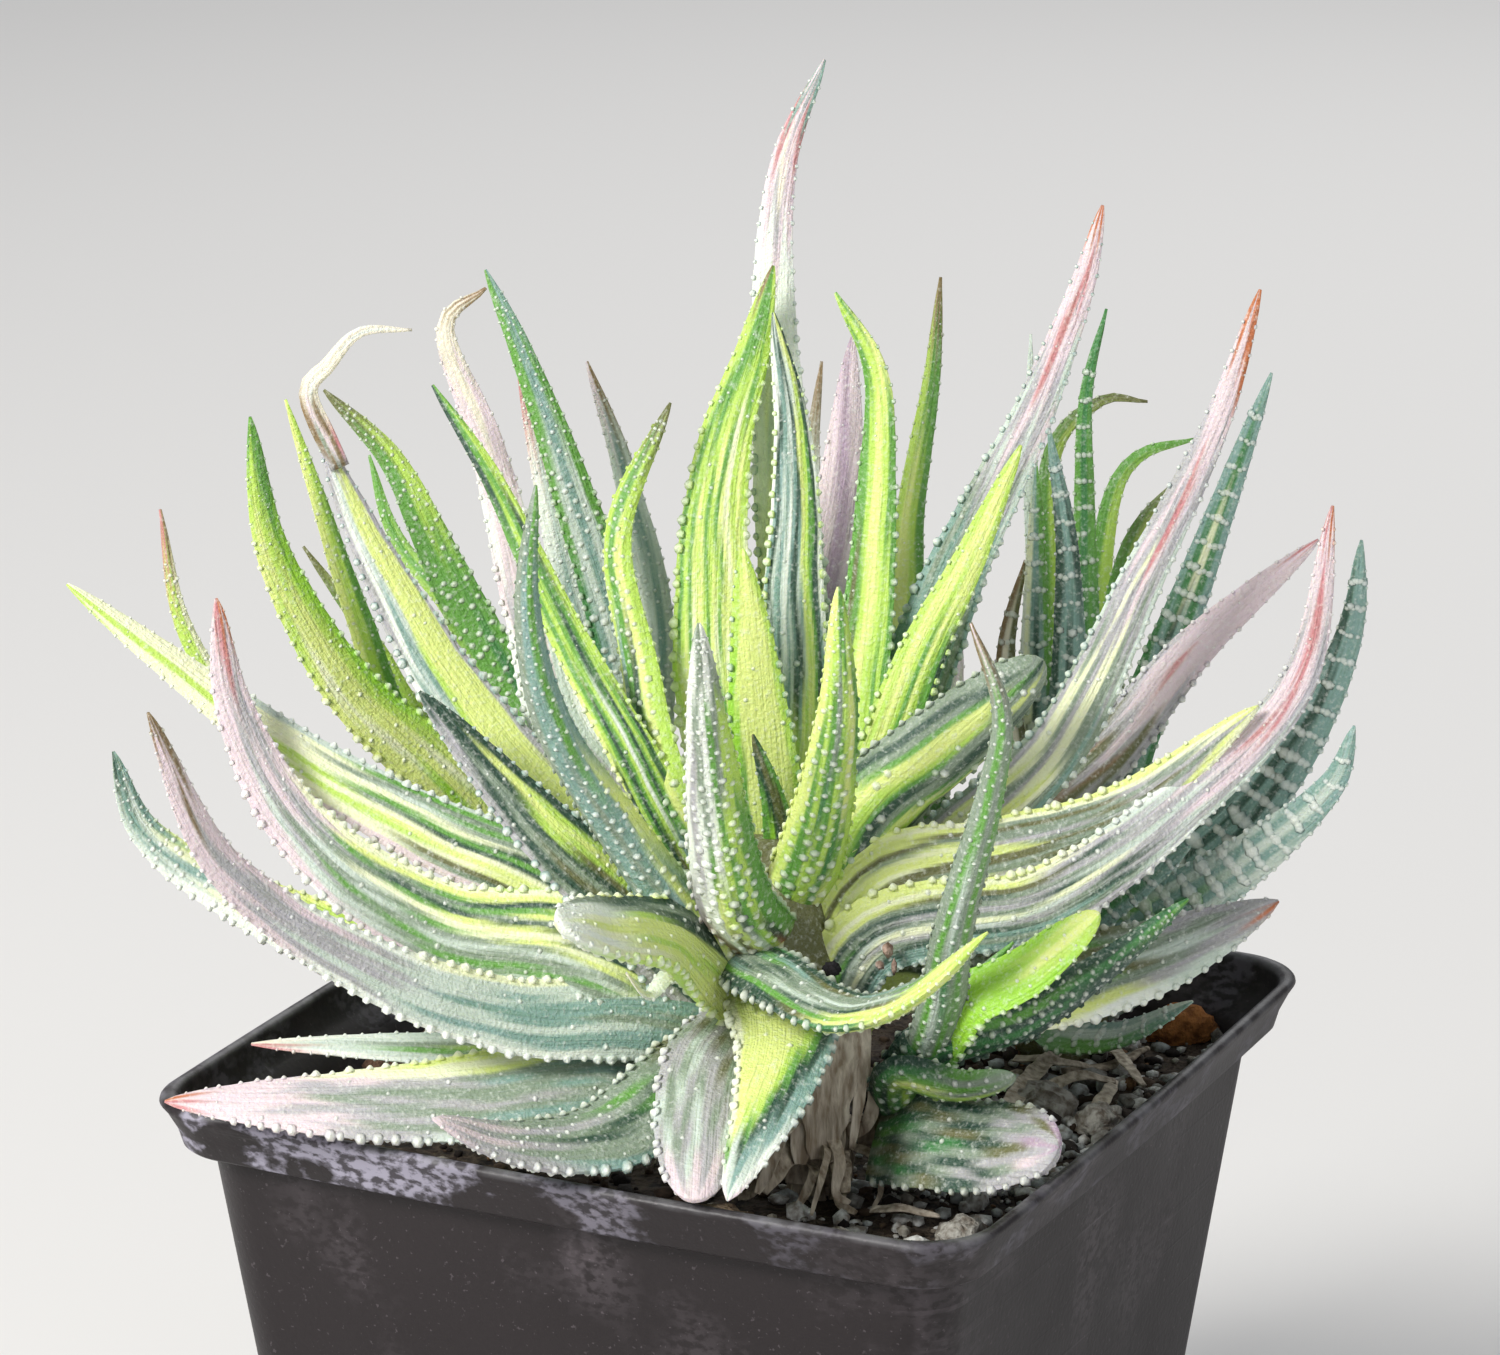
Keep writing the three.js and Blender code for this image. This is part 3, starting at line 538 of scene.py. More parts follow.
# Smaller scraps of the same litter have blown in among the grit around them.
LITTER = [
    (2.1, [(26.5, -7.5, 74), (29.5, 1, 74.6), (33.5, 12, 74.2)]),
    (1.7, [(37, 14.5, 74), (38.6, 7, 74.8), (40.8, -0.5, 74)]),
    (1.5, [(30.5, -2, 74), (34, 0, 74.9), (38, 0.5, 74.2)]),
    (1.2, [(28, 7.5, 74), (31, 5.5, 74.7), (36, 5, 74)]),
    (1.6, [(35.5, -6.5, 73.6), (37, -3, 74.3), (38, 1.5, 73.8)]),
    (1.3, [(12.5, -33.5, 73.8), (15.5, -34.8, 74.4), (19, -35, 73.6)]),
]
litter_finish = dry_tissue("dry_litter", (0.7, 0.63, 0.52), (0.3, 0.25, 0.19))
lay_strips("soil_litter_{}", LITTER, 10, 0.4, (0.2, -0.4, 1), litter_finish, "dry_leaf", "soil", 0.12)
lay_strips("straw_{}_blade", STRAWS, 2, 0.6, (0, 0, 1), straw_finish, "dry_leaf", "straw_{}")


# --- Old stem ---------------------------------------------
# The bare woody stub that lifts the rosette off the soil. Dried leaf sheaths still wrap it, split
# into fibres that curl away at the front.
STEM_PLACE = (7.5, -24)
STEM_FOOT = 60.3
STEM_LENGTH = 19.3
STEM_RADIUS = 3.1
stem_finish = dry_tissue("dry_sheath", (0.74, 0.65, 0.51), (0.24, 0.18, 0.125))
share, angle = np.meshgrid(np.linspace(0, 1, 40), full_turn(72), indexing="ij")
height = STEM_FOOT + STEM_LENGTH * share
ridges = 0.2 * np.sin(13 * angle + 0.3 * height) + 0.14 * np.sin(29 * angle - 0.2 * height)
radius = STEM_RADIUS + ridges * np.minimum(1, share * 4) + 0.15 * np.sin(height * 1.6)
stem_rings = circle(72) * radius[..., None] + height[..., None] * (0, 0, 1) + (*STEM_PLACE, 0)
add_piece("stem_stub", *closed_skin(stem_rings), stem_finish, "old_stem", "stem", PLANTS_TURN)
FACING = (0, -1, 0.3)
SHEATHS = [
    (6.2, [(7, -27.1, 74), (7.2, -27.7, 76.6), (7.4, -28, 79)]),
    (2.6, [(8.4, -26.9, 75), (8.7, -27.6, 79), (9, -28.4, 82)]),
    (2.4, [(6, -26.6, 77.8), (4, -29.4, 77.4), (2, -31, 74.6)]),
    (2.2, [(9.4, -26.6, 77), (9.6, -29.6, 76.5), (10, -31.6, 74.8)]),
]
lay_strips("stem_sheath_{}", SHEATHS, 20, 0.5, FACING, stem_finish, "old_stem", "stem", 0.06)
# Thin papery shreds that have peeled off the sheaths and curl down to the soil.
SHREDS = [
    (1.4, [(8.5, -27.2, 75.8), (9.6, -29.4, 75.2), (9.4, -31.2, 73.6), (11, -32.4, 73)]),
    (1.1, [(6.4, -27.2, 76.5), (6.8, -29.8, 76.2), (5.8, -31.4, 74.2), (4.6, -32.2, 73)]),
    (0.9, [(10.6, -26, 77.5), (12.6, -28, 77.2), (13.4, -30, 74.6), (12.6, -31, 73)]),
    (1.6, [(4.4, -25.6, 76), (2.4, -27.6, 75.6), (0.8, -28.4, 73.6), (-0.4, -28, 73)]),
    (0.8, [(7.6, -27.4, 78.5), (8.2, -30.4, 78.6), (7.4, -32.6, 76), (6.6, -33.4, 73.2)]),
    (1.5, [(10.2, -26.2, 79), (12, -27.8, 80.5), (12.6, -28.4, 83.5), (12.2, -28.2, 86.5)]),
    (2.2, [(9, -27, 80.5), (8.8, -28, 78), (9.4, -28.6, 75.6), (8.6, -29, 73.4)]),
]
lay_strips("stem_shred_{}", SHREDS, 40, 0.3, (0.3, -1, 0.5), stem_finish, "old_stem", "stem", 0.16)


# --- Main rosette -----------------------------------------
# The old variegated haworthia: some forty stiff succulent blades on one crown, striped green,
# yellow, cream and pink, blushed where the sun caught them, with white tubercles on the backs and
# along the margins. The palette's letters paint each face, read from margin to margin, tip up.
TURNED = (0, 1, 0.3)
UPWARD = (0, -0.75, 1)
PALETTE = {
    "w": "eff4ea", "c": "f2f5cc", "i": "efe6d2", "y": "e4f08c", "l": "bfe25c", "f": "a0da34",
    "g": "67a63e", "e": "3d8546", "d": "214a3a", "b": "85a8a2", "s": "8d9c8c", "p": "cbd8ce",
    "m": "b5b1b9", "v": "bb9fba", "k": "e4d0d8", "r": "d0858c", "o": "cc7040", "t": "6f6e42",
    "n": "8e7250",
}


def linear(code):
    """Linear colour of a hexadecimal one: each channel over 255, raised by the screen's curve."""
    channels = np.array([int(code[at : at + 2], 16) for at in (0, 2, 4)]) / 255
    return np.where(channels < 0.04045, channels / 12.92, ((channels + 0.055) / 1.055) ** 2.4)


LETTERS = {letter: linear(code) for letter, code in PALETTE.items()}


def painted(words, share, across):
    """Colours on one face. Each word is a station between root and tip whose letters fill it from
    across = -1 to 1 with narrow blends in between, and the stations melt into one another."""
    stations = words.split()
    spot = share * (len(stations) - 1)
    lower = np.minimum(spot.astype(int), max(len(stations) - 2, 0))
    rows = []
    for word in stations:
        colours = np.array([LETTERS[letter] for letter in word])
        step = (across + 1) / 2 * len(word) - 0.5
        left = np.floor(step).astype(int)
        melt = np.clip((step - left - 0.5) * 3.4 + 0.5, 0, 1)[:, None]
        near, far = (colours[np.clip(left + more, 0, len(word) - 1)] for more in (0, 1))
        rows.append(near * (1 - melt) + far * melt)
    rows = np.array(rows)
    pick = np.arange(len(share))
    melt = (spot - lower)[:, None]
    melt = melt * melt * (3 - 2 * melt)
    upper = np.minimum(lower + 1, len(stations) - 1)
    return rows[lower, pick] * (1 - melt) + rows[upper, pick] * melt


# Blades whose outline is at least this full end blunt.
BLUNT = 3.5


def blade_width(share, width, fullness):
    """Width along a blade: it swells a little from the root, then falls as a power of one minus
    share to the fullness, blunt where the fullness is high. A sixth of it holds on to the tip."""
    root = 0.8 + 0.2 * np.minimum(1, share / 0.2)
    power = 0.5 if fullness >= BLUNT else 0.95
    fall = 0.84 * np.maximum(0, 1 - share**fullness) ** power
    hold = 0.16 * np.sqrt(np.maximum(0, 1 - share**14))
    return np.maximum(0.3, width * root * (fall + hold))


# A tubercle: a low cone with a round top and a flared foot. Its rings of six points are radius,
# height and whiteness, between a point on top and one below.
KNOB_RINGS = ((0.44, 0.62, 0.95), (0.9, 0.17, 0.6), (1.4, -0.2, 0.05))
knob_rings = [circle(6) * radius + (0, 0, height) for radius, height, _ in KNOB_RINGS]
KNOB = np.concatenate([[(0, 0, 0.78)], *knob_rings, [(0, 0, -0.6)]])
KNOB_WHITE = np.array([1.0, *[white for _, _, white in KNOB_RINGS for _ in range(6)], 0.0])
# The same rings as faces: top is the first ring's corners, 1 to 6, and later the next corner of each.
top = np.arange(6) + 1
later = top % 6 + 1
knob_cap = np.stack([0 * top, top, later], -1)
knob_foot = np.stack([0 * top + 19, later + 12, top + 12], -1)
knob_band = np.stack([top, top + 6, later + 6, later], -1)
KNOB_CAPS = np.concatenate([knob_cap, knob_foot])
KNOB_SIDES = np.concatenate([knob_band, knob_band + 6])
PEARL = np.array([0.93, 0.95, 0.86])


def make_leaf(node, slot, finish, row, seed, dots, rib=0.0, toothed=True):
    """One leaf with its tubercles. The blade's section is a shallow rise on the upper face and a
    deeper belly on the lower, both with a rounded margin, carried along the midrib. Tubercles stand
    in staggered rows: dots are the shares of them that the upper and the lower face keep. Toothed
    leaves have more along each margin. With rib, those of a row meet to make a pale band across the
    back every rib millimetres."""
    name, width, fullness, looks, midrib, upper_words, *lower_words = row
    random = np.random.default_rng(seed)
    phase = random.uniform(0, 2 * np.pi, 8)
    length = carried_along(midrib, looks, np.zeros(1))[-1]

    def surface(share, across, face):
        """Point on the blade. Face is 1 on the upper side and -1 on the lower."""
        place, _, side, up, _ = carried_along(midrib, looks, share)
        wide = blade_width(share, width, fullness)
        run = share * length
        wave = 0.012 * np.sin(run * 0.55 + phase[0] + across) + 0.014 * np.sin(run * 1.3 + phase[1] - across)
        half = wide / 2 * (1 + wave)
        round_off = np.sqrt(np.maximum(0, 1 - across**2)) * np.minimum(0.22, wide * 0.1)
        ripple = 0.10 * np.sin(run * 0.8 + phase[2] + 2 * across) * np.minimum(1, wide / 4)
        belly = np.maximum(0, 1 - np.abs(across) ** 2.4) ** 0.85 * np.maximum(0.34 * wide - 0.2, 0.15)
        rise = np.where(face > 0, round_off + 0.05 * wide * (1 - across**2), -round_off - belly)
        rise = rise + ripple * (1 - across**2)
        return place + side * (half * across)[..., None] + up * rise[..., None]

    def colour_at(share, across, face):
        """Paint of a place: its station word, shifted by slow sines so that the stripes wander. A
        leaf with no words for its lower face has the upper face's paint on both."""
        run = share * length
        drift = across + 0.07 * np.sin(run * 0.16 + phase[3]) + 0.035 * np.sin(run * 0.47 + phase[4])
        later = np.clip(share + 0.03 * np.sin(across * 9 + phase[5]), 0, 1)
        top = painted(upper_words, later, drift)
        under = painted(lower_words[0], later, -drift) if lower_words else top
        return np.where((face > 0)[:, None], top, under)

    rows = int(np.clip(length / 1.6, 22, 64))
    around = 128 if width > 7 else 84 if width > 5 else 48
    even = np.linspace(0, 1, rows)
    stations = 1 - (1 - even) ** (1.6 if fullness >= BLUNT else 1.15)
    angle = (np.arange(around) + 0.5) / around * 2 * np.pi
    share, turn = np.meshgrid(stations, angle, indexing="ij")
    share, turn = share.ravel(), turn.ravel()
    across, face = -np.cos(turn), np.where(turn < np.pi, 1, -1)
    skin, skin_faces = closed_skin(surface(share, across, face).reshape(rows, around, 3))
    share, across, face = np.append(share, (0, 1)), np.append(across, (0, 0)), np.append(face, (1, 1))
    half = across * blade_width(share, width, fullness) / 2
    skin_way = np.stack([half + 40 * face, share * length, share * 0 + seed], -1)

    # Tubercles: rows from root to tip on each face, then a row of teeth along each margin. A spot
    # is its distance along, place across, face, radius and height.
    spots = []
    for this_face, amount in ((1, dots[0]), (-1, dots[1])):
        lines = max(3, round(width / (1.25 if rib else 1.45)))
        step = rib or 1.75
        for line in range(lines):
            at = np.arange(0.8 + (0 if rib else (line % 2) * 0.5 * step), length - 1, step)
            at = at + random.uniform(-0.2, 0.2, len(at)) * (0.3 if rib else 1) * step
            x = -0.84 + 1.68 * (line + 0.5) / lines + random.uniform(-0.08, 0.08, len(at))
            keep = random.uniform(0, 1, len(at)) < amount
            radius = random.uniform(0.27, 0.48, len(at)) * (1 if this_face < 0 or amount > 0.4 else 0.62)
            radius = radius * (1.75 if rib else 1)
            height = radius * (0.36 if rib else 0.95)
            spots.append(np.stack([at, x, at * 0 + this_face, radius, height], -1)[keep])
    for margin in (-1, 1) if toothed else ():
        at = np.arange(1.2, length - 0.8, 1.6)
        at = at + random.uniform(-0.4, 0.4, len(at))
        radius = random.uniform(0.3, 0.52, len(at))
        spots.append(np.stack([at, at * 0 + margin, at * 0 - 1, radius, radius * 1.15], -1))
    spots = np.concatenate(spots)
    local = blade_width(spots[:, 0] / length, width, fullness)
    spots, local = spots[local > 1.1], local[local > 1.1]
    spot_share, spot_across, spot_face = spots[:, 0] / length, spots[:, 1], spots[:, 2]
    size = np.clip(local / 6.5, 0.42, 1)[:, None, None] * spots[:, None, 3:]

    # Each stands on its own axes: ahead along the blade, outward from its face, or straight out at
    # a margin, and the third at right angles to both.
    centre = surface(spot_share, spot_across, spot_face)
    ahead = unit(surface(np.minimum(spot_share + 0.004, 1), spot_across, spot_face) - centre)
    inward = surface(spot_share, spot_across * 0.94, spot_face) - centre
    aside = unit(inward * -np.where(spot_across == 0, 1, np.sign(spot_across))[:, None])
    outward = np.cross(aside, ahead) * spot_face[:, None]
    sideways = centre - surface(spot_share, spot_across * 0, spot_face)
    outward = unit(np.where((np.abs(spot_across) == 1)[:, None], sideways, outward))
    third = np.cross(outward, ahead)
    knobs = (
        centre[:, None]
        + ahead[:, None] * (KNOB[:, :1] * size[..., :1])
        + third[:, None] * (KNOB[:, 1:2] * size[..., :1] * (1.05 if rib else 1.1))
        + outward[:, None] * (KNOB[:, 2:] * size[..., 1:])
    )
    shift = len(skin) + np.arange(len(spots))[:, None, None] * len(KNOB)
    knob_faces = [(KNOB_CAPS + shift).reshape(-1, 3), (KNOB_SIDES + shift).reshape(-1, 4)]
    own = colour_at(spot_share, np.clip(spot_across, -0.97, 0.97), spot_face)
    pearl = own * 0.26 + PEARL * 0.74
    knob_paint = own[:, None] + (pearl - own)[:, None] * KNOB_WHITE[:, None]
    spot_way = np.stack([spot_across * 3, spot_share * length, spot_share * 0 + seed], -1)
    points = np.concatenate([skin, knobs.reshape(-1, 3)])
    faces = [*skin_faces, *knob_faces]
    paint = np.concatenate([colour_at(share, across, face), knob_paint.reshape(-1, 3)])
    way = np.concatenate([skin_way, np.repeat(spot_way, len(KNOB), 0)])
    add_piece(f"{node}_{name}", points, faces, finish, slot, node, PLANTS_TURN, paint=paint, way=way)


def succulent_skin(name, streaks=0.5):
    """Waxy leaf skin. The painted stripes are broken up by fine streaks that run along the blade,
    then a mealy bloom speckles them pale, and the surface is granular. The pale speckle is partly
    the leaf's own bloom and partly painted sheen."""
    finish, spot = new_finish(
        name,
        Subsurface_Weight=0.12,
        Subsurface_Scale=1.2 * MM,
        Subsurface_Radius=(1.0, 0.8, 0.35),
        Specular_IOR_Level=0.45,
    )
    own = spot.node("Attribute", output=0, attribute_name="paint")
    way = spot.node("Attribute", output=1, attribute_name="way")
    streak = way.noise(1, 3, (2.6, 0.09, 3.1)).ramp(0.32, 0.68)
    fine = way.noise(1, 2, (6.5, 0.22, 5.3)).ramp(0.35, 0.65)
    deeper = own.tinted((0.62, 0.74, 0.50, 1))
    depth = own.node("RGBToBW", {0: own}).ramp(0.72, 0.2)
    striped = ((streaks * streak + 0.3 * fine) * (0.3 + 0.7 * depth)).mixed(own, deeper)
    bloom = spot.noise(1900, 4)
    # Pale speckle mask: partly the real mealy bloom, partly painted sheen that whitens the colour.
    frost_and_sheen = bloom.ramp(0.5, 0.68)
    grain = spot.noise(3600, 2).ramp(0.3, 0.7)
    return feed(
        finish,
        Base_Color=(0.42 * frost_and_sheen * grain + 0.06 * grain).mixed(striped, (0.9, 0.93, 0.87, 1)),
        Roughness=0.36 + 0.22 * bloom + 0.14 * frost_and_sheen,
        Bump=(bloom + 0.7 * spot.noise(3300, 2) + 0.5 * streak, 0.8, 0.22 * MM),
    )


def make_core(node, slot, finish, sections):
    """The crown that the leaves grow from: fluted round sections, each x, y, height and radius."""
    disc = circle(40) * (1 + 0.03 * np.sin(7 * full_turn(40)))[:, None]
    skin = closed_skin([disc * radius + (x, y, z) for x, y, z, radius in sections])
    values = {"paint": LETTERS["t"], "way": (0, 0, 3)}
    add_piece(node + "_core", *skin, finish, slot, node, PLANTS_TURN, **values)


skin_finish = succulent_skin("variegated_skin")
MAIN_CORE = [
    (3, -22, 80, 5.5), (3, -22, 86, 6.6), (3, -21, 95, 6.8), (3.5, -19.5, 103, 4.6), (3.5, -19, 107, 2.4),
]
make_core("main_rosette", "variegated_leaf", skin_finish, MAIN_CORE)
# Each leaf: name, width, fullness of its outline, what the upper face looks towards, its midrib
# from root to tip across, back and up, then its paint, upper and, if it differs, lower.
MAIN_LEAVES = [
    ("front_middle", 8.6, 1.3, TURNED, [(3, -22, 97), (-1, -30, 105), (-3, -37, 121), (-4, -44, 136)],
     "gllyllg llyll lyl", "ononnono nnwtywldgg mwwyldglgg wmwgwlglgg wmwswgllg wmswgsll wswgsl wsws sw"),
    ("front_right", 7.6, 1.3, TURNED, [(4, -20, 99), (7, -25, 109), (9, -30, 123), (9, -32, 136)],
     "glylg lyl", "nntnntn tyggllgyl ylgglglegl yygleglgyl yglgsglyg ylgslyg ylgl yg"),
    ("dotted_left", 7.4, 1.3, (0.5, 0.7, 0.3),
     [(1, -19, 98), (-7, -19, 112), (-10, -15, 124), (-12, -12, 136), (-7, -9, 148)],
     "glylg lyl", "ynygdgyl ylgdbdgyl ylbdbgyl lybgdyl ylgyl lgl t"),
    ("striped_left", 6, 1.3, FACING,
     [(0, -19, 95), (-10, -21, 115), (-17, -17, 127), (-24, -13, 141), (-30, -10, 150)],
     "ydtdtdydgdgl ydlddtlgwgdgldg ydlgdglwgdgldgl ylgdglwgdlgdl lglgdgll gglgdl dgl dg"),
    ("grey_left", 6.4, 1.3, TURNED,
     [(0, -23, 92), (-12, -30, 112), (-18, -35, 124), (-20, -38, 136), (-19, -40, 148)],
     "bsbsb bsb", "gbbsbbyn bsbbsbyb sbbsbby sbbgb sbgb sg"),
    ("torn", 9.5, 1.7, (0.2, -1, 0.6), [(0, -22, 90), (-15, -26, 106), (-22, -25, 113), (-31, -23, 123)],
     "mmsdtsdstdlyylddb mmdsdtsdtdlyyldds mmdsstdsdtlyyldd mmsdtsdtlyldd msdtsdtlyld mdsdlyld mdsdyd "
     "mdd d", "bsbsb bsb"),
    ("withered", 10.6, 1.4, (0.3, -1, 0.3),
     [(0, -18, 93), (-19, -18, 110), (-29, -15, 122), (-36, -12, 134), (-41, -10, 145)],
     "pdbpdbpdlyyyyyyyymm pdbpdbpdyyyyyyyyymm pdbpdbpdyyyyyyyyymm pbdpbdplyyyyyyymm wbpdbplyyyyyyymm "
     "wbpbplyyyyyyym wbpblyyyyym mwbpyyyyym mwpyyyym mwpyyym mmm", "bsb bsb"),
    ("withered_tip", 2.4, 1.3, (0, -1, 0.2),
     [(-39, -11, 142), (-42, -10, 149), (-40, -10, 152), (-37, -9, 155), (-32, -8, 155)],
     "mnsnm nsknr nkni iiwi iiii wiwi iwi ii"),
    ("pink_hook", 7.8, 1.3, FACING,
     [(1, -17, 97), (-16, -15, 114), (-21, -10, 128), (-25, -6, 143), (-29, -4, 154), (-25, -3, 158)],
     "sbpbsmm sppsmsp sppsmpp pmppmpw wpmmmpw wkmmkpw kmkmkw wkmkw kkk kik ii n"),
    ("pale_middle", 8.8, 2, FACING,
     [(2, -16, 103), (-2, -15, 117), (-3, -11, 129), (-2, -7, 142), (1, -4, 152), (3, -2, 160)],
     "lyyccylyyylyycccyyycyyl lyyccygyyyygyyycccyyccy cyycggyycylgyyccyyycyyc lycylgyycyygyyccyycyyy "
     "lglygcyylgycgyyylycyc lglgylyglylgycylyc lglgylglgycllyl lglglygclyl lggllgl lggl ngl"),
    ("dark_middle", 7.4, 2, (0.15, -1, 0.3),
     [(4, -16, 103), (5, -13, 115), (5, -10, 128), (5, -7, 143), (3, -5, 156)],
     "wppdlyyyyyyyyyyylyygdw wpbdbglyyyylyyyylygddw wpbdbdpgblylyyyylygdbw wpbddpwbbpddbylyygddbw "
     "wbpdbdpwbpbddpylygdbw wbdpbbpwbddpbylgddw wbdpbpwbdbylggdw wdbpbpbdylgdw wdbpdyldw wbdpyd dpyd",
     "lgl"),
    ("tallest", 8.6, 1.3, FACING,
     [(3, -15, 102), (5, -8, 123), (4, -4, 139), (3, 0, 156), (4, 3, 169), (8, 5, 179)],
     "yyccwgwbbdbbpbbbdbw ycccwgwbbwbwbbbbdbw cyccwgwwbpwbwbbbpbw cycwwgwwwbwpwwbpw ccycwwwwbwwpwbw "
     "cyycwwwwbww cyywwwwwww cyywwwww wcywwww wcwwww wcwww wpwww wcwww wpww wwww wwww wwkw kmk kik "
     "rkr bmb kb", "bpb pp"),
    ("lime_bud", 7.4, 1.8, FACING, [(3, -18, 105), (2, -17, 114), (1, -16, 125), (0, -15, 135)],
     "lfgyyyyyyyl ffgyyyyyyyl ffyyyyyyl fyyyyyl lyyyl lyl", "glylg"),
    ("inner_bud", 3.6, 1.3, FACING, [(4, -19, 104), (3, -20, 111), (1, -21, 118)],
     "gfddtgg gfdtdg gdttg dtg td"),
    ("lime_right", 6.2, 2, (-0.3, -1, 0.3),
     [(5, -17, 101), (10, -15, 111), (12, -11, 125), (13, -8, 138), (13, -6, 150), (9, -5, 158)],
     "yyyyyllylglg yyyyytlyllglgg yyyytlyyllglgg ytgtlyyllglg gtglyyllg gglyylgg glylg gly lg", "ggglg"),
    ("lime_spear", 7.4, 1.3, FACING,
     [(6, -18, 100), (13, -16, 112), (17, -14, 123), (22, -12, 133), (27, -10, 144)],
     "dlyyylyllgllgd dlyyyylgyllgldd dlylyylgyllggd lylyylgylggd llyylgylgd lyylyyl lyyl lyl", "lgl"),
    ("grey_right", 10.6, 0.9, FACING,
     [(6, -17, 97), (15, -12, 116), (21, -8, 131), (28, -5, 145), (33, -3, 158), (35, -2, 166)],
     "bbbbdbbbb bbsbbbbsbb bbsbbbbsbb bbdbbbbdbb bbbsbbbsbb bbbdbbbdbb bbsbbbsbsb bbsbbdbbsb "
     "bbsbbsbbsb bsbbsbsbbb bsbsbsbsbp bsmsbsmsmp smpmsmpsp pmkmpmk pmkkmp mkrkmp krkk krk kk oo", "bb"),
    ("blunt_right", 9.6, 4, TURNED, [(7, -20, 94), (12, -19, 109), (20, -19, 117), (29, -19, 125)],
     "glg gl",
     "gyylggeeglleeggee gyyyllgeegyleegeee geyyyllggegylegeed sgeyyyllgddeyllged sdgyyyllgddsgyylds "
     "sdsgyyylgddssgylds sdsgyyylgssddsgys sdsgyyylssddsds sdsgsysds ssdsss"),
    ("orange_tip", 9.2, 0.9, FACING,
     [(7, -18, 93), (20, -17, 105), (31, -14, 115), (39, -11, 131), (46, -9, 146), (50, -8, 159)],
     "tttyystyybbb tmsyyysmyyybbs tmsyysmyyysbs tmsycysmcycsbs smcycssmcyysbsm smcycssmcyysbsm "
     "smycyssmyycsbsm smcycsmyycsbb smccsmccssbs smccsmccssbs smccsmccssms pmscmmccsmsp pmsmcmmcmsmp "
     "pmmmcmkmmmp mkmmrkmmp mkmrkmp mkrkm mkkm kkk kko oko oo", "bpb pb m"),
    ("pink_right", 9.4, 1.4, FACING,
     [(7, -17, 91), (21, -12, 102), (35, -7, 111), (45, -4, 122), (57, -1, 132)],
     "degdegdb bdgdbdgb tdgtdgyb stdstdyb tsdstdyb ntsdstyb tnstsnyb tsntntsb tnmsntms smntmnts "
     "mtmmkmtm mmkkkkm mkkrkkm kkkkkk kkkk kkk kk rk"),
    ("yellow_edge", 10, 1.6, FACING,
     [(7, -22, 91), (13, -23, 103), (25, -22, 106), (37, -20, 110), (50, -18, 120)],
     "cyyyyyyyyyyyyyyyyc cycytyyyytyyycyyyc cyyytyyyytyyyyyycc cyyytycyyttyyycyyc yyyytsyycttsyyyycc "
     "ycytsycyyttsyycyyc ycytssyyyttssyyyyc ycstssmyyttssmyyyc ycstssmstsstsmyyc ycstssmstsstsmyc "
     "ycmstsmtssmyc ycsmtsmsyc ycsmsmyc ycmyc yc"),
    ("long_right", 8.6, 1.4, FACING,
     [(7, -23, 88), (13, -25, 99), (29, -24, 102), (43, -20, 111), (54, -16, 122), (57, -14, 139)],
     "yycyedgetedbbb yycyedgdstdsdbb yycydsdpscsdbb yycysdmscmsdbbb yyytsdmscmdbsb ycytdsmscpdbsb "
     "ycmtsmdcpmsbsm cmdmspcmsdsm pmsmpmdmpm wpmmpmmpmw mpkmkmkkmp pkkrkkmp mkkrkm mkrkm krk kk ro"),
    ("low_right", 10.4, 3.4, (0, -1, 0.5),
     [(7, -20, 88), (15, -18, 94), (29, -16, 91), (41, -14, 93), (53, -12, 98)],
     "sgtssggyyly sgdstssylyl sdstsgtyyly sgdtssdyycy sgsdtsgsyyc ssgtsddsyyc tsgsstsdyyc sgtssgsyw "
     "tssptsyw smspsmp mspmp mmm mo"),
    ("back_spear", 5.4, 1.3, FACING,
     [(5, -14, 96), (15, 3, 119), (17, 10, 133), (19, 15, 144), (20, 19, 154)],
     "glylyg lyylyl lyylyl lyylg lylg lgg nn"),
    ("back_pink", 8.6, 1.8, FACING, [(4, -14, 98), (7, 0, 121), (9.8, 8, 136), (11, 14, 149)],
     "bmpkvp bpvkkp pkvkvk kkvk kvk vk"),
    ("back_thin", 4.2, 1.3, FACING, [(3, -14, 98), (7, 6, 128), (7, 14, 137), (8, 20, 145)],
     "pbp pbp pp n"),
    ("back_left", 8, 1.3, FACING, [(3, -15, 94), (0, -2, 108), (-1, 10, 119), (0, 18, 128)],
     "gldglg gldlg lgl t"),
    ("back_middle", 8, 1.3, FACING, [(4, -14, 93), (6, 2, 106), (7, 14, 116), (6, 24, 125)],
     "bbgbb bgbb bkb k"),
    ("back_right", 8, 1.3, FACING, [(6, -15, 93), (12, 2, 104), (15, 13, 112), (14, 22, 120)],
     "ylgly yly l n"),
    ("back_low", 7, 1.3, FACING, [(7, -17, 91), (16, -8, 102), (20, 0, 111), (22, 8, 119)],
     "dgldgd dgd g k"),
    ("long_left", 9, 1.3, (0.3, -1, 0.4),
     [(0, -23, 88), (-10, -27, 91), (-23, -31, 93), (-37, -35, 100), (-49, -39, 111), (-55, -43, 127)],
     "egegegggl gbbbgsbbpc pbbbsbbbpc pbbpsbbppc wbbpbbbppc wpbpbbpbpc wpbppbpppc wppppmppw wmpmmpmw "
     "wmpmmmkw kmmmmkk kkmmk kkmkk kknkk kkn n"),
    ("striped_sickle", 11.2, 1.5, (0.4, -1, 0.4),
     [(-1, -22, 89), (-14, -26, 98), (-29, -25, 100), (-42, -22, 108), (-49, -18, 119), (-51, -15, 130)],
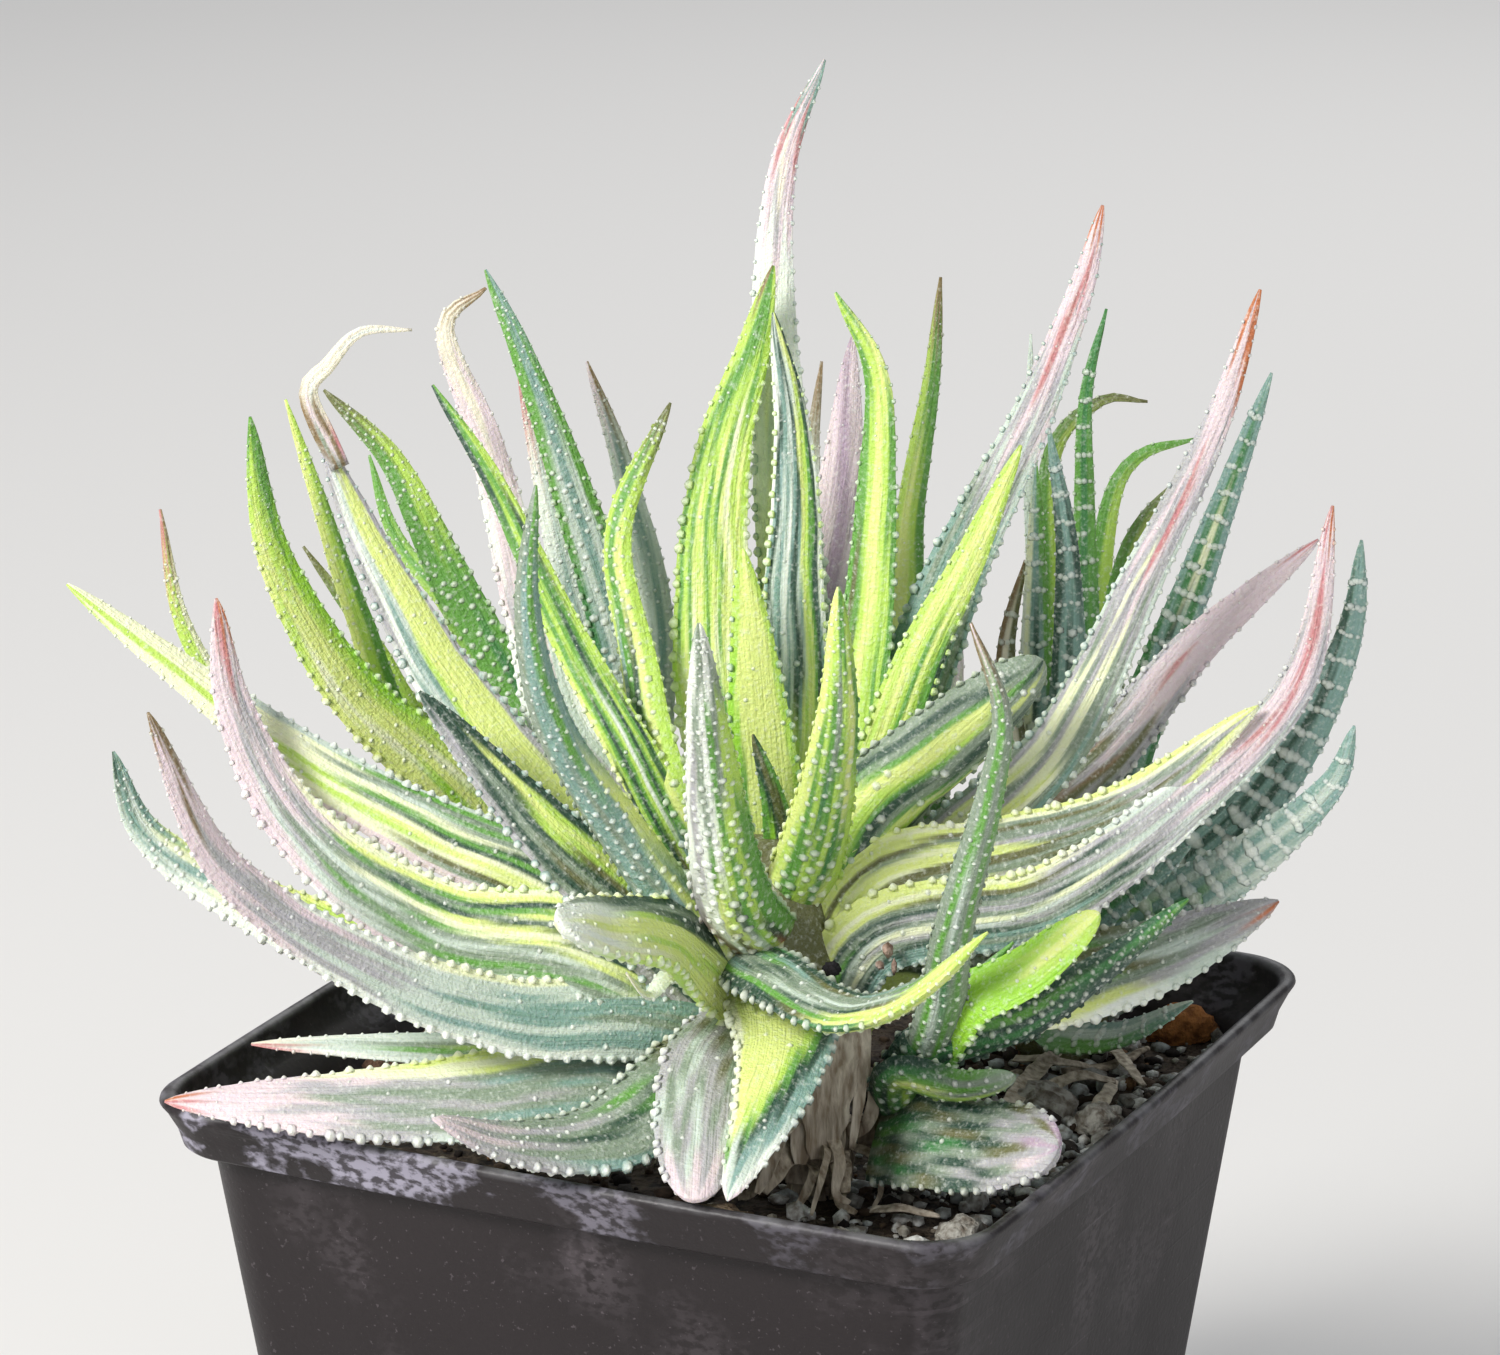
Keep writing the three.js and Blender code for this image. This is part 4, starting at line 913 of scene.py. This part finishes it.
     "gyylyydylyyydlyy gpylyyydldyydyly sspylsydsydygdyly psgpsycdsydgydycl pgsspsycdsygdycl "
     "psgsspscydsgdycl ksgspsgcydsgyc kpsgspscgdsyc wkpsgspcsgyc kkpmspsmkc kkpmkmkc kkmkmk kkmk krk "
     "ro"),
    ("far_left", 9.2, 1.5, (0.2, -1, 0.5),
     [(-1, -20, 90), (-14, -21, 101), (-30, -18, 107), (-42, -15, 113), (-54, -12, 121), (-66, -10, 130)],
     "ytdytddtydsgsgs ytdyytdtdysgdgs mtdyyydtdssgdgs kdtyycdgdssgsgs kstcycdgcsgsgp kcclycsgcpsgp "
     "kcclclccscp wcclcccp cclccc clcc lc"),
    ("low_left", 9.5, 2, (0.3, -1, 0.5),
     [(-1, -19, 86), (-18, -14, 90), (-34, -8, 90), (-51, -4, 96), (-60, -2, 102), (-63, -1, 110)],
     "yyylyylly yylgyylyl yypglyglyly wcpplyglyl wcplyglyly wpcpylyly wpcpbyly wcpcly wpbcy pbpb db"),
    ("front_stub", 8.6, 4, (0, -0.8, 0.8),
     [(0, -24, 92), (-6, -32, 101), (-12, -40, 105), (-17, -47, 108)],
     "yyyylyydds yyyylyyddds yyylyyyddsd ycylyyylsdd cwcycwws wwwww", "ylyyly lylyyl ylyyl wcw"),
    ("curl", 3, 1.5, (0, -0.5, 1),
     [(-1, -25, 92), (-4, -28, 95), (-7, -31, 97), (-9, -34, 96), (-11, -36, 99)], "gcg cwg www iw"),
    ("inside_rim", 6.4, 1.5, UPWARD, [(0, -22, 82), (-18, -24, 86), (-33, -24, 87), (-48, -23, 87)],
     "dbsydbd bbsybsb pbsysbp bpslspb ppgspp wpppw ri"),
    ("across_rim", 12, 2.1, UPWARD, [(0, -24, 82), (-14, -29, 85), (-33, -32, 84.3), (-56, -29, 83.3)],
     "gbbgbsdbssyyy ggbbsdbsdsyyy bbsssdsbdsyyy bsssbsssbssyyy dssbssbssbyyy bssbsmssbsycy "
     "psbsmssmsycy psmsmssmccy msmsmsmcc mkmsmkc kmkmk kkk kk ro"),
    ("hanging_left", 11.4, 1.7, (0.2, -0.5, 1),
     [(0, -25, 88), (-6, -34, 86.4), (-13, -40, 84), (-21, -44, 84.8), (-29, -48, 88.8)],
     "eggdgdst gegsdgst bsdsgdss dsssdsgs bssdsmss msmsmss mkmkm kkk"),
    ("hanging_grey", 9.4, 4, (0, -0.6, 1),
     [(0, -25, 90.5), (-3, -34, 89.2), (-4, -41, 86.2), (-4.5, -50, 81.4)],
     "bgstmsmssm bgsmtsmstm bpsmstmpms bbstmmpsmm bpsmmsmpsm bpmsmpsmsp wpmmpmspm mkmkpmkm kkkkk"),
    ("hanging_yellow", 11.6, 1.4, (0, -0.6, 1),
     [(3, -25, 94), (4, -33, 92.3), (3, -41, 89.4), (-1.4, -51, 81.8)],
     "bglyyynnyyyyy bdglyyyynyyyyc bdglyyyyyyyyyc bdgllyyyyyyyyc bdglyyyyyyyyc bddglyyyyyyc "
     "bbdglyyyyyc bbddglyyyc pbbddglyc wpbbdpg wpbpw kwpk"),
    ("front_hook", 7.4, 1.5, (-0.3, -0.4, 1),
     [(-1, -24, 96.5), (3, -33, 97.4), (9.5, -42, 97.3), (16, -48, 101.5), (22.5, -53, 109)],
     "dgbssbgdd edgbssdbgdd edbgsdssgdd ddbsdspsgdd dtssspdgtd dtsspsdsgye dbsspsdylye sbsspstyyly "
     "ssgslyyyyl gylyyyly lyyyl lyl"),
]
# Dead leaf bases still hang from the crown in front: a split papery sheath and narrow strips.
CROWN_SHEATHS = [
    (5.4, [(8.8, -27, 91), (8.6, -28.6, 87), (8, -29.4, 82), (7.6, -29.2, 77.5)], 0.1),
    (3.0, [(6.2, -27.6, 87), (5.8, -29, 82), (5.6, -29.4, 77)], 0.1),
    (1.3, [(11.6, -27, 92), (11.8, -28.4, 88), (11.2, -29.2, 83), (10.6, -29, 78.5)], 0.2),
    (1.7, [(5.4, -28.4, 82), (3.6, -30.6, 80.4), (2.6, -31.6, 77.6), (1.4, -32, 75)], 0.2),
    (1.2, [(8.6, -29, 80), (9.4, -31, 78), (9, -32, 75), (10.4, -32.6, 74.2)], 0.2),
]
# The same dry tissue as the stem's, painted paler: painted light on the sheaths that hang in front of the
# crown.
lit_sheath_finish = dry_tissue("split_sheath_painted_lit", (0.86, 0.77, 0.63), (0.36, 0.28, 0.2))
lay_strips("crown_sheath_{}", CROWN_SHEATHS, 60, 0.35, FACING, lit_sheath_finish, "old_stem", "main_rosette")
# A dark dried bud and the beige scrap of a dead flower, caught under the inner leaves.
CAUGHT = [
    ("dried_bud", (8.6, -27.6, 96.4), (1.9, 1.8, 1.7), (0.02, 0.018, 0.022), 3),
    ("flower_scrap_1", (14.0, -27.4, 98.3), (1.6, 1.2, 1.9), (0.5, 0.36, 0.29), 1),
    ("flower_scrap_2", (13.2, -27.8, 96.9), (1.3, 1.0, 1.2), (0.56, 0.44, 0.38), 1),
    ("flower_scrap_3", (14.6, -27.6, 96.6), (0.7, 0.6, 1.8), (0.45, 0.33, 0.27), 1),
]
scrap_finish = painted_rough("dried_flower", 0.8)
for seed, (name, place, size, paint, detail) in enumerate(CAUGHT, 71):
    points, faces = rough_lumps([(0, 0, 0)], [size], seed, detail, 0.5)
    points = points + turned(place, PLANTS_TURN)
    add_piece(name, points, faces, scrap_finish, "old_stem", "main_rosette", paint=paint)
DOTTED = {
    "front_stub": (0.3, 0.8), "low_left": (0.5, 1), "hanging_left": (0.25, 1), "front_hook": (0.35, 1),
    "blunt_right": (0.12, 0.2), "withered_tip": (0, 0), "inner_bud": (0, 0.3),
}
for seed, row in enumerate(MAIN_LEAVES, 100):
    dots = DOTTED.get(row[0], (0.12, 1))
    toothed = row[0] != "withered_tip"
    make_leaf("main_rosette", "variegated_leaf", skin_finish, row, seed, dots, toothed=toothed)


# --- Rear left offset -------------------------------------
# A younger plant that has come up from the root beside the old one: narrower blades, mostly lime
# green, some bluish with dark spots.
lime_finish = succulent_skin("lime_skin", 0.4)
LEFT_CORE = [(-16, 11, 60.3, 5), (-16, 11, 89, 5), (-16, 11, 94, 3)]
make_core("rear_left_offset", "lime_leaf", lime_finish, LEFT_CORE)
REAR_LEFT_LEAVES = [
    ("narrow", 4.8, 1.3, FACING,
     [(-15, 9, 86), (-37, 6, 103), (-50, 4, 112), (-56, 3, 122), (-58, 3, 134)],
     "lylyl yllcl clcll lclc llc rn"),
    ("lime_broad", 8.6, 1.4, (0.3, -1, 0.3),
     [(-16, 10, 88), (-31, 8, 105), (-40, 6, 115), (-47, 5, 129), (-49, 5, 143)],
     "lylyyll lyyfyylf yycyylyf cyyfycyl yycyylf ycyylf lyylf ylf lg g"),
    ("lime_thin", 4.6, 1.4, FACING,
     [(-15, 11, 90), (-33, 12, 105), (-39, 12, 120), (-43, 12, 133), (-46, 12, 143)], "ydg ylg ylg yl"),
    ("short_thin", 4, 1.4, FACING, [(-15, 12, 88), (-32, 16, 106), (-38, 17, 116), (-45, 18, 126)],
     "dld llt gl t"),
    ("arching", 7.4, 1.4, FACING,
     [(-14, 12, 90), (-24, 17, 110), (-31, 20, 124), (-36, 22, 134), (-43, 24, 141)],
     "llegded llgged lggeg gggg gl t"),
    ("far_thin", 4.4, 1.4, FACING, [(-14, 13, 90), (-28, 22, 115), (-36, 28, 124), (-39, 32, 132)],
     "lgl lgl g"),
    ("spotted_tall", 7.4, 1.4, FACING,
     [(-13, 11, 92), (-12, 12, 114), (-17, 14, 132), (-22, 16, 146), (-26, 18, 155)],
     "bpbcbpb bebcbdb ebpbpbe gpbpg gbg gb"),
    ("red_tip", 5, 1.4, FACING, [(-13, 13, 90), (-16, 18, 112), (-20, 20, 130), (-23, 22, 144)],
     "bpb ppp pbp wp r"),
    ("blue_upright", 5.8, 1.4, FACING, [(-12, 12, 90), (-9, 19, 115), (-12, 22, 132), (-16, 24, 144)],
     "pwbpwp wpbpwp pwpbp pbp kn"),
    ("back_left", 6, 1.4, FACING, [(-17, 13, 86), (-20, 24, 100), (-22, 33, 112)], "gdg gdg g t"),
    ("back_low", 6, 1.4, FACING, [(-18, 12, 84), (-26, 22, 95), (-34, 30, 106)], "lgl lgl g n"),
    ("back_right", 6, 1.4, FACING, [(-14, 13, 86), (-10, 24, 98), (-8, 32, 110)], "bgb bgb g k"),
    ("foot_back", 6, 1.4, FACING, [(-17, 14, 77), (-22, 24, 84), (-26, 32, 94)], "tgt gdg gk n"),
    ("foot_right", 5.6, 1.4, FACING, [(-13, 13, 77), (-7, 21, 81), (-1, 29, 88)], "gtg glg lg n"),
    ("foot_left", 5.6, 1.4, FACING, [(-19, 12, 77), (-29, 17, 82), (-38, 20, 90)], "nts tss ms n"),
]
for seed, row in enumerate(REAR_LEFT_LEAVES, 200):
    dots = (0.25, 1) if row[0] == "lime_broad" else (0.75, 1)
    make_leaf("rear_left_offset", "lime_leaf", lime_finish, row, seed, dots)


# --- Rear right offset ------------------------------------
# Another offset, dark green, whose white tubercles run together into bands across the backs.
banded_finish = succulent_skin("banded_skin", 0.35)
RIGHT_CORE = [(33, 15, 60.3, 5), (33, 15, 87, 5), (33, 15, 92, 3)]
make_core("rear_right_offset", "banded_leaf", banded_finish, RIGHT_CORE)
REAR_RIGHT_LEAVES = [
    ("banded_tall", 6.4, 1.4, FACING,
     [(33, 14, 88), (39, 12, 105), (45, 11, 122), (50, 11, 137), (53, 11, 146)],
     "ebdbebge ebdbdbge ebdbdbe ebdbeb beceb beb b"),
    ("banded_sickle", 7.4, 1.4, FACING,
     [(34, 13, 86), (47, 8, 96), (56, 6, 108), (61, 6, 120), (62, 6, 130)],
     "dbdbdbd bdbdbdb dbdbdbd bdbdbb bdbb dbb b"),
    ("banded_low", 7.8, 1.5, FACING,
     [(34, 12, 84), (44, 4, 92), (53, 0, 100), (59, -2, 107), (61, -2, 113)],
     "bebdebe bgbebeb bpbebpb pbpbp bpb b"),
    ("thin_tall", 4.2, 1.3, FACING,
     [(32, 16, 90), (35, 18, 110), (35, 20, 128), (35, 21, 141), (37, 22, 150)], "gdgd gege geg e"),
    ("arch_high", 4.6, 1.4, FACING,
     [(31, 17, 90), (32, 26, 116), (32, 30, 132), (37, 31, 138), (42, 31, 138)], "lgl lgl gl t"),
    ("arch_mid", 4.6, 1.4, FACING,
     [(33, 17, 90), (36, 26, 109), (38, 30, 126), (41, 31, 132), (47, 31, 134)], "lgl lgl gl g"),
    ("arch_low", 4.6, 1.3, FACING, [(33, 16, 88), (37, 22, 108), (40, 25, 124), (46, 26, 132)],
     "lgl lgl gl t"),
    ("dotted_front", 5.4, 1.3, FACING, [(31, 14, 90), (33, 12, 107), (33, 14, 126), (31, 16, 139)],
     "dbdbd bdbdbd dbdbb dbd b"),
    ("cream_front", 5, 1.3, FACING, [(31, 15, 90), (30, 15, 104), (30, 18, 120), (30, 20, 134)],
     "cwcdbdgb cwcgdbdb wccdbbd wcbdbg cbg bg"),
    ("brown", 4.2, 1.4, FACING, [(31, 14, 88), (28, 14, 104), (27, 17, 115), (29, 20, 124)],
     "ntitnt titnitn tnit nit nt"),
    ("thin_back", 3.6, 1.3, FACING, [(31, 17, 90), (31, 28, 113), (30, 33, 131), (30, 36, 144)],
     "pbp pp p"),
    ("short_front", 5, 1.5, FACING, [(32, 11, 82), (35, 4, 90), (40, 1, 95), (45, -1, 100)],
     "bbeb beb b"),
    ("on_soil", 5.6, 1.6, UPWARD, [(32, 10, 80), (32, 2, 79), (38, -4, 81), (45, -8, 86)], "pgb bpg pb"),
    ("back_left", 6, 1.4, FACING, [(32, 18, 84), (28, 30, 95), (26, 38, 107)], "ded geg e"),
    ("back_middle", 6, 1.4, FACING, [(34, 18, 84), (38, 29, 97), (40, 38, 109)], "geg ded e t"),
    ("back_right", 6, 1.4, FACING, [(36, 16, 82), (45, 23, 92), (52, 28, 101)], "ded geg e"),
    ("foot_back", 6, 1.4, FACING, [(33, 18, 77), (34, 29, 82), (33, 38, 90)], "tgt gdg gk n"),
    ("foot_left", 5.6, 1.4, FACING, [(30, 17, 77), (22, 24, 81), (15, 31, 87)], "gtg geg eg n"),
    ("foot_right", 5.2, 1.4, FACING, [(37, 16, 77), (45, 18, 82), (52, 20, 90)], "nts tss ms n"),
]
for seed, row in enumerate(REAR_RIGHT_LEAVES, 300):
    dots, rib = ((0.2, 0.5), 0.0) if row[0].startswith("arch") else ((0.92, 0.95), 2.8)
    make_leaf("rear_right_offset", "banded_leaf", banded_finish, row, seed, dots, rib)


# --- Front offset -----------------------------------------
# A small pup on a short side shoot from the old stem, its dark leaves thickly dotted with white.
young_finish = succulent_skin("young_skin", 0.35)
YOUNG_CORE = [(17, -23.5, 76.5, 2.6), (17, -23.5, 79, 4.6), (17, -23.5, 85, 3.4)]
make_core("front_offset", "young_leaf", young_finish, YOUNG_CORE)
FRONT_LEAVES = [
    ("upright", 5, 1.5, TURNED,
     [(16, -26, 82), (19, -32, 94), (20, -37, 104), (23, -41, 118), (24, -43, 127), (21, -44, 136)],
     "gsg", "gsgsgsg sgpsgss sgsesgs sgpsgs sgsg sgs nkn"),
    ("dark_long", 7, 1.4, (0, 1, 0.2),
     [(16, -25, 82), (18, -29, 89), (27, -29, 92), (35, -28, 97), (43, -26, 103)],
     "geg", "dedgede dededed dgdedd dedd ege"),
    ("lime_blunt", 5.6, 4, (0, -1, 0.8), [(16, -26, 83), (21, -32, 94), (27, -33, 98), (34, -33, 104)],
     "efffgffe effffffe gfffffff fffffff flylf yyl"),
    ("short_dark", 3.6, 1.3, TURNED, [(16, -24, 83), (21, -29, 94), (26, -30, 100)], "ege", "ded ded g"),
    ("low_dotted", 4.8, 4, (0, 1, 0.4), [(15, -26, 81), (15, -31, 87), (21, -34, 87), (26, -37, 89)],
     "ege", "dedged dedgelg degylgl gsgslg sss"),
    ("resting_on_rim", 10, 4.6, (0.1, -1.2, 1),
     [(13, -29, 79), (16, -32, 80.5), (22, -36, 81.4), (30, -42, 83.6)],
     "dtedgsdtd sdegdtesd dtdesdtes sdtsdesdt tdsdtesdsd sdsdtdsdmd dsmsdtmdm tmsmtmsm mtmvmkm vmvm"),
]
for seed, row in enumerate(FRONT_LEAVES, 400):
    dots = {"lime_blunt": (0.3, 1), "resting_on_rim": (0.1, 1)}.get(row[0], (0.8, 1))
    make_leaf("front_offset", "young_leaf", young_finish, row, seed, dots)
SHOOT_RADIUS = 1.6
SHOOT_LEVEL = 78.4
SHOOT = ((11.3, -24), (13, -23.9), (15, -23.7), (17, -23.5))
disc = np.roll(circle(20), 1, axis=-1) * SHOOT_RADIUS
skin = closed_skin([disc + (x, y, SHOOT_LEVEL) for x, y in SHOOT])
add_piece("front_offset_shoot", *skin, stem_finish, "young_leaf", "front_offset", PLANTS_TURN)


# --- Setting, camera and light ----------------------------
# A plain pale studio floor that runs past the edge of the picture, with a large soft light from
# the front left, a fill from the right and a little light from behind. Sizes here are metres.
FLOOR_HALF = 6
floor_finish, _ = new_finish("pale_floor", Roughness=0.9, Base_Color=(0.80, 0.79, 0.77, 1))
floor_mesh = bpy.data.meshes.new("floor")
floor_corners = [(x * FLOOR_HALF, y * FLOOR_HALF, 0) for x, y in ((-1, -1), (1, -1), (1, 1), (-1, 1))]
floor_mesh.from_pydata(floor_corners, [], [(0, 1, 2, 3)])
floor_mesh.materials.append(floor_finish)
linked("floor", floor_mesh)


def aimed(name, data, spot, back):
    """A light or camera at the spot whose own -Z points away from back, with Y upwards."""
    back = unit(np.array(back))
    right = unit(np.cross((0, 0, 1), back))
    thing = linked(name, data)
    thing.location = spot
    thing.rotation_euler = Matrix(np.stack([right, np.cross(back, right), back], -1).tolist()).to_euler()
    return thing


# Each lamp: name, place, size, power and colour. All three point at the crown.
LAMPS_AIM = (0, 0, 0.1)
LAMPS = [
    ("key", (-0.35, -0.80, 0.75), 0.3, 13, (1, 0.98, 0.95)),
    ("fill", (0.9, -0.5, 0.45), 0.7, 1.6, (0.96, 0.98, 1)),
    ("back", (-0.1, 0.9, 0.8), 0.8, 4, (1, 1, 1)),
]
for name, spot, size, power, colour in LAMPS:
    lamp = bpy.data.lights.new(name, "AREA")
    lamp.size = size
    lamp.energy = power
    lamp.color = colour
    aimed(name, lamp, spot, np.subtract(spot, LAMPS_AIM))

world = bpy.data.worlds.new("studio")
world.use_nodes = True
world.node_tree.nodes["Background"].inputs["Color"].default_value = (0.93, 0.95, 1, 1)
world.node_tree.nodes["Background"].inputs["Strength"].default_value = 0.34
bpy.context.scene.world = world
bpy.context.scene.view_settings.view_transform = "Standard"

# The camera faces along the plants' own axis and down on the lip's middle, from beside and above
# the line through it by the amounts that frame the plants as they are in the photograph.
ELEVATION = np.radians(16.8)
DISTANCE = 0.610
CAMERA_RIGHT = 0.000712
CAMERA_UP = 0.03584
right, ahead = turned([(1, 0, 0), (0, 1, 0)], PLANTS_TURN)
back = np.sin(ELEVATION) * np.array([0, 0, 1]) - np.cos(ELEVATION) * ahead
lens = bpy.data.cameras.new("camera")
lens.lens = 144
lens.sensor_width = 36
lens.sensor_fit = "HORIZONTAL"
lens.clip_start = 0.01
lens.clip_end = 30
lip_middle = np.array([0, 0, POT_HEIGHT * MM])
place = lip_middle + CAMERA_RIGHT * right + CAMERA_UP * np.cross(back, right) + DISTANCE * back
bpy.context.scene.camera = aimed("camera", lens, place, back)
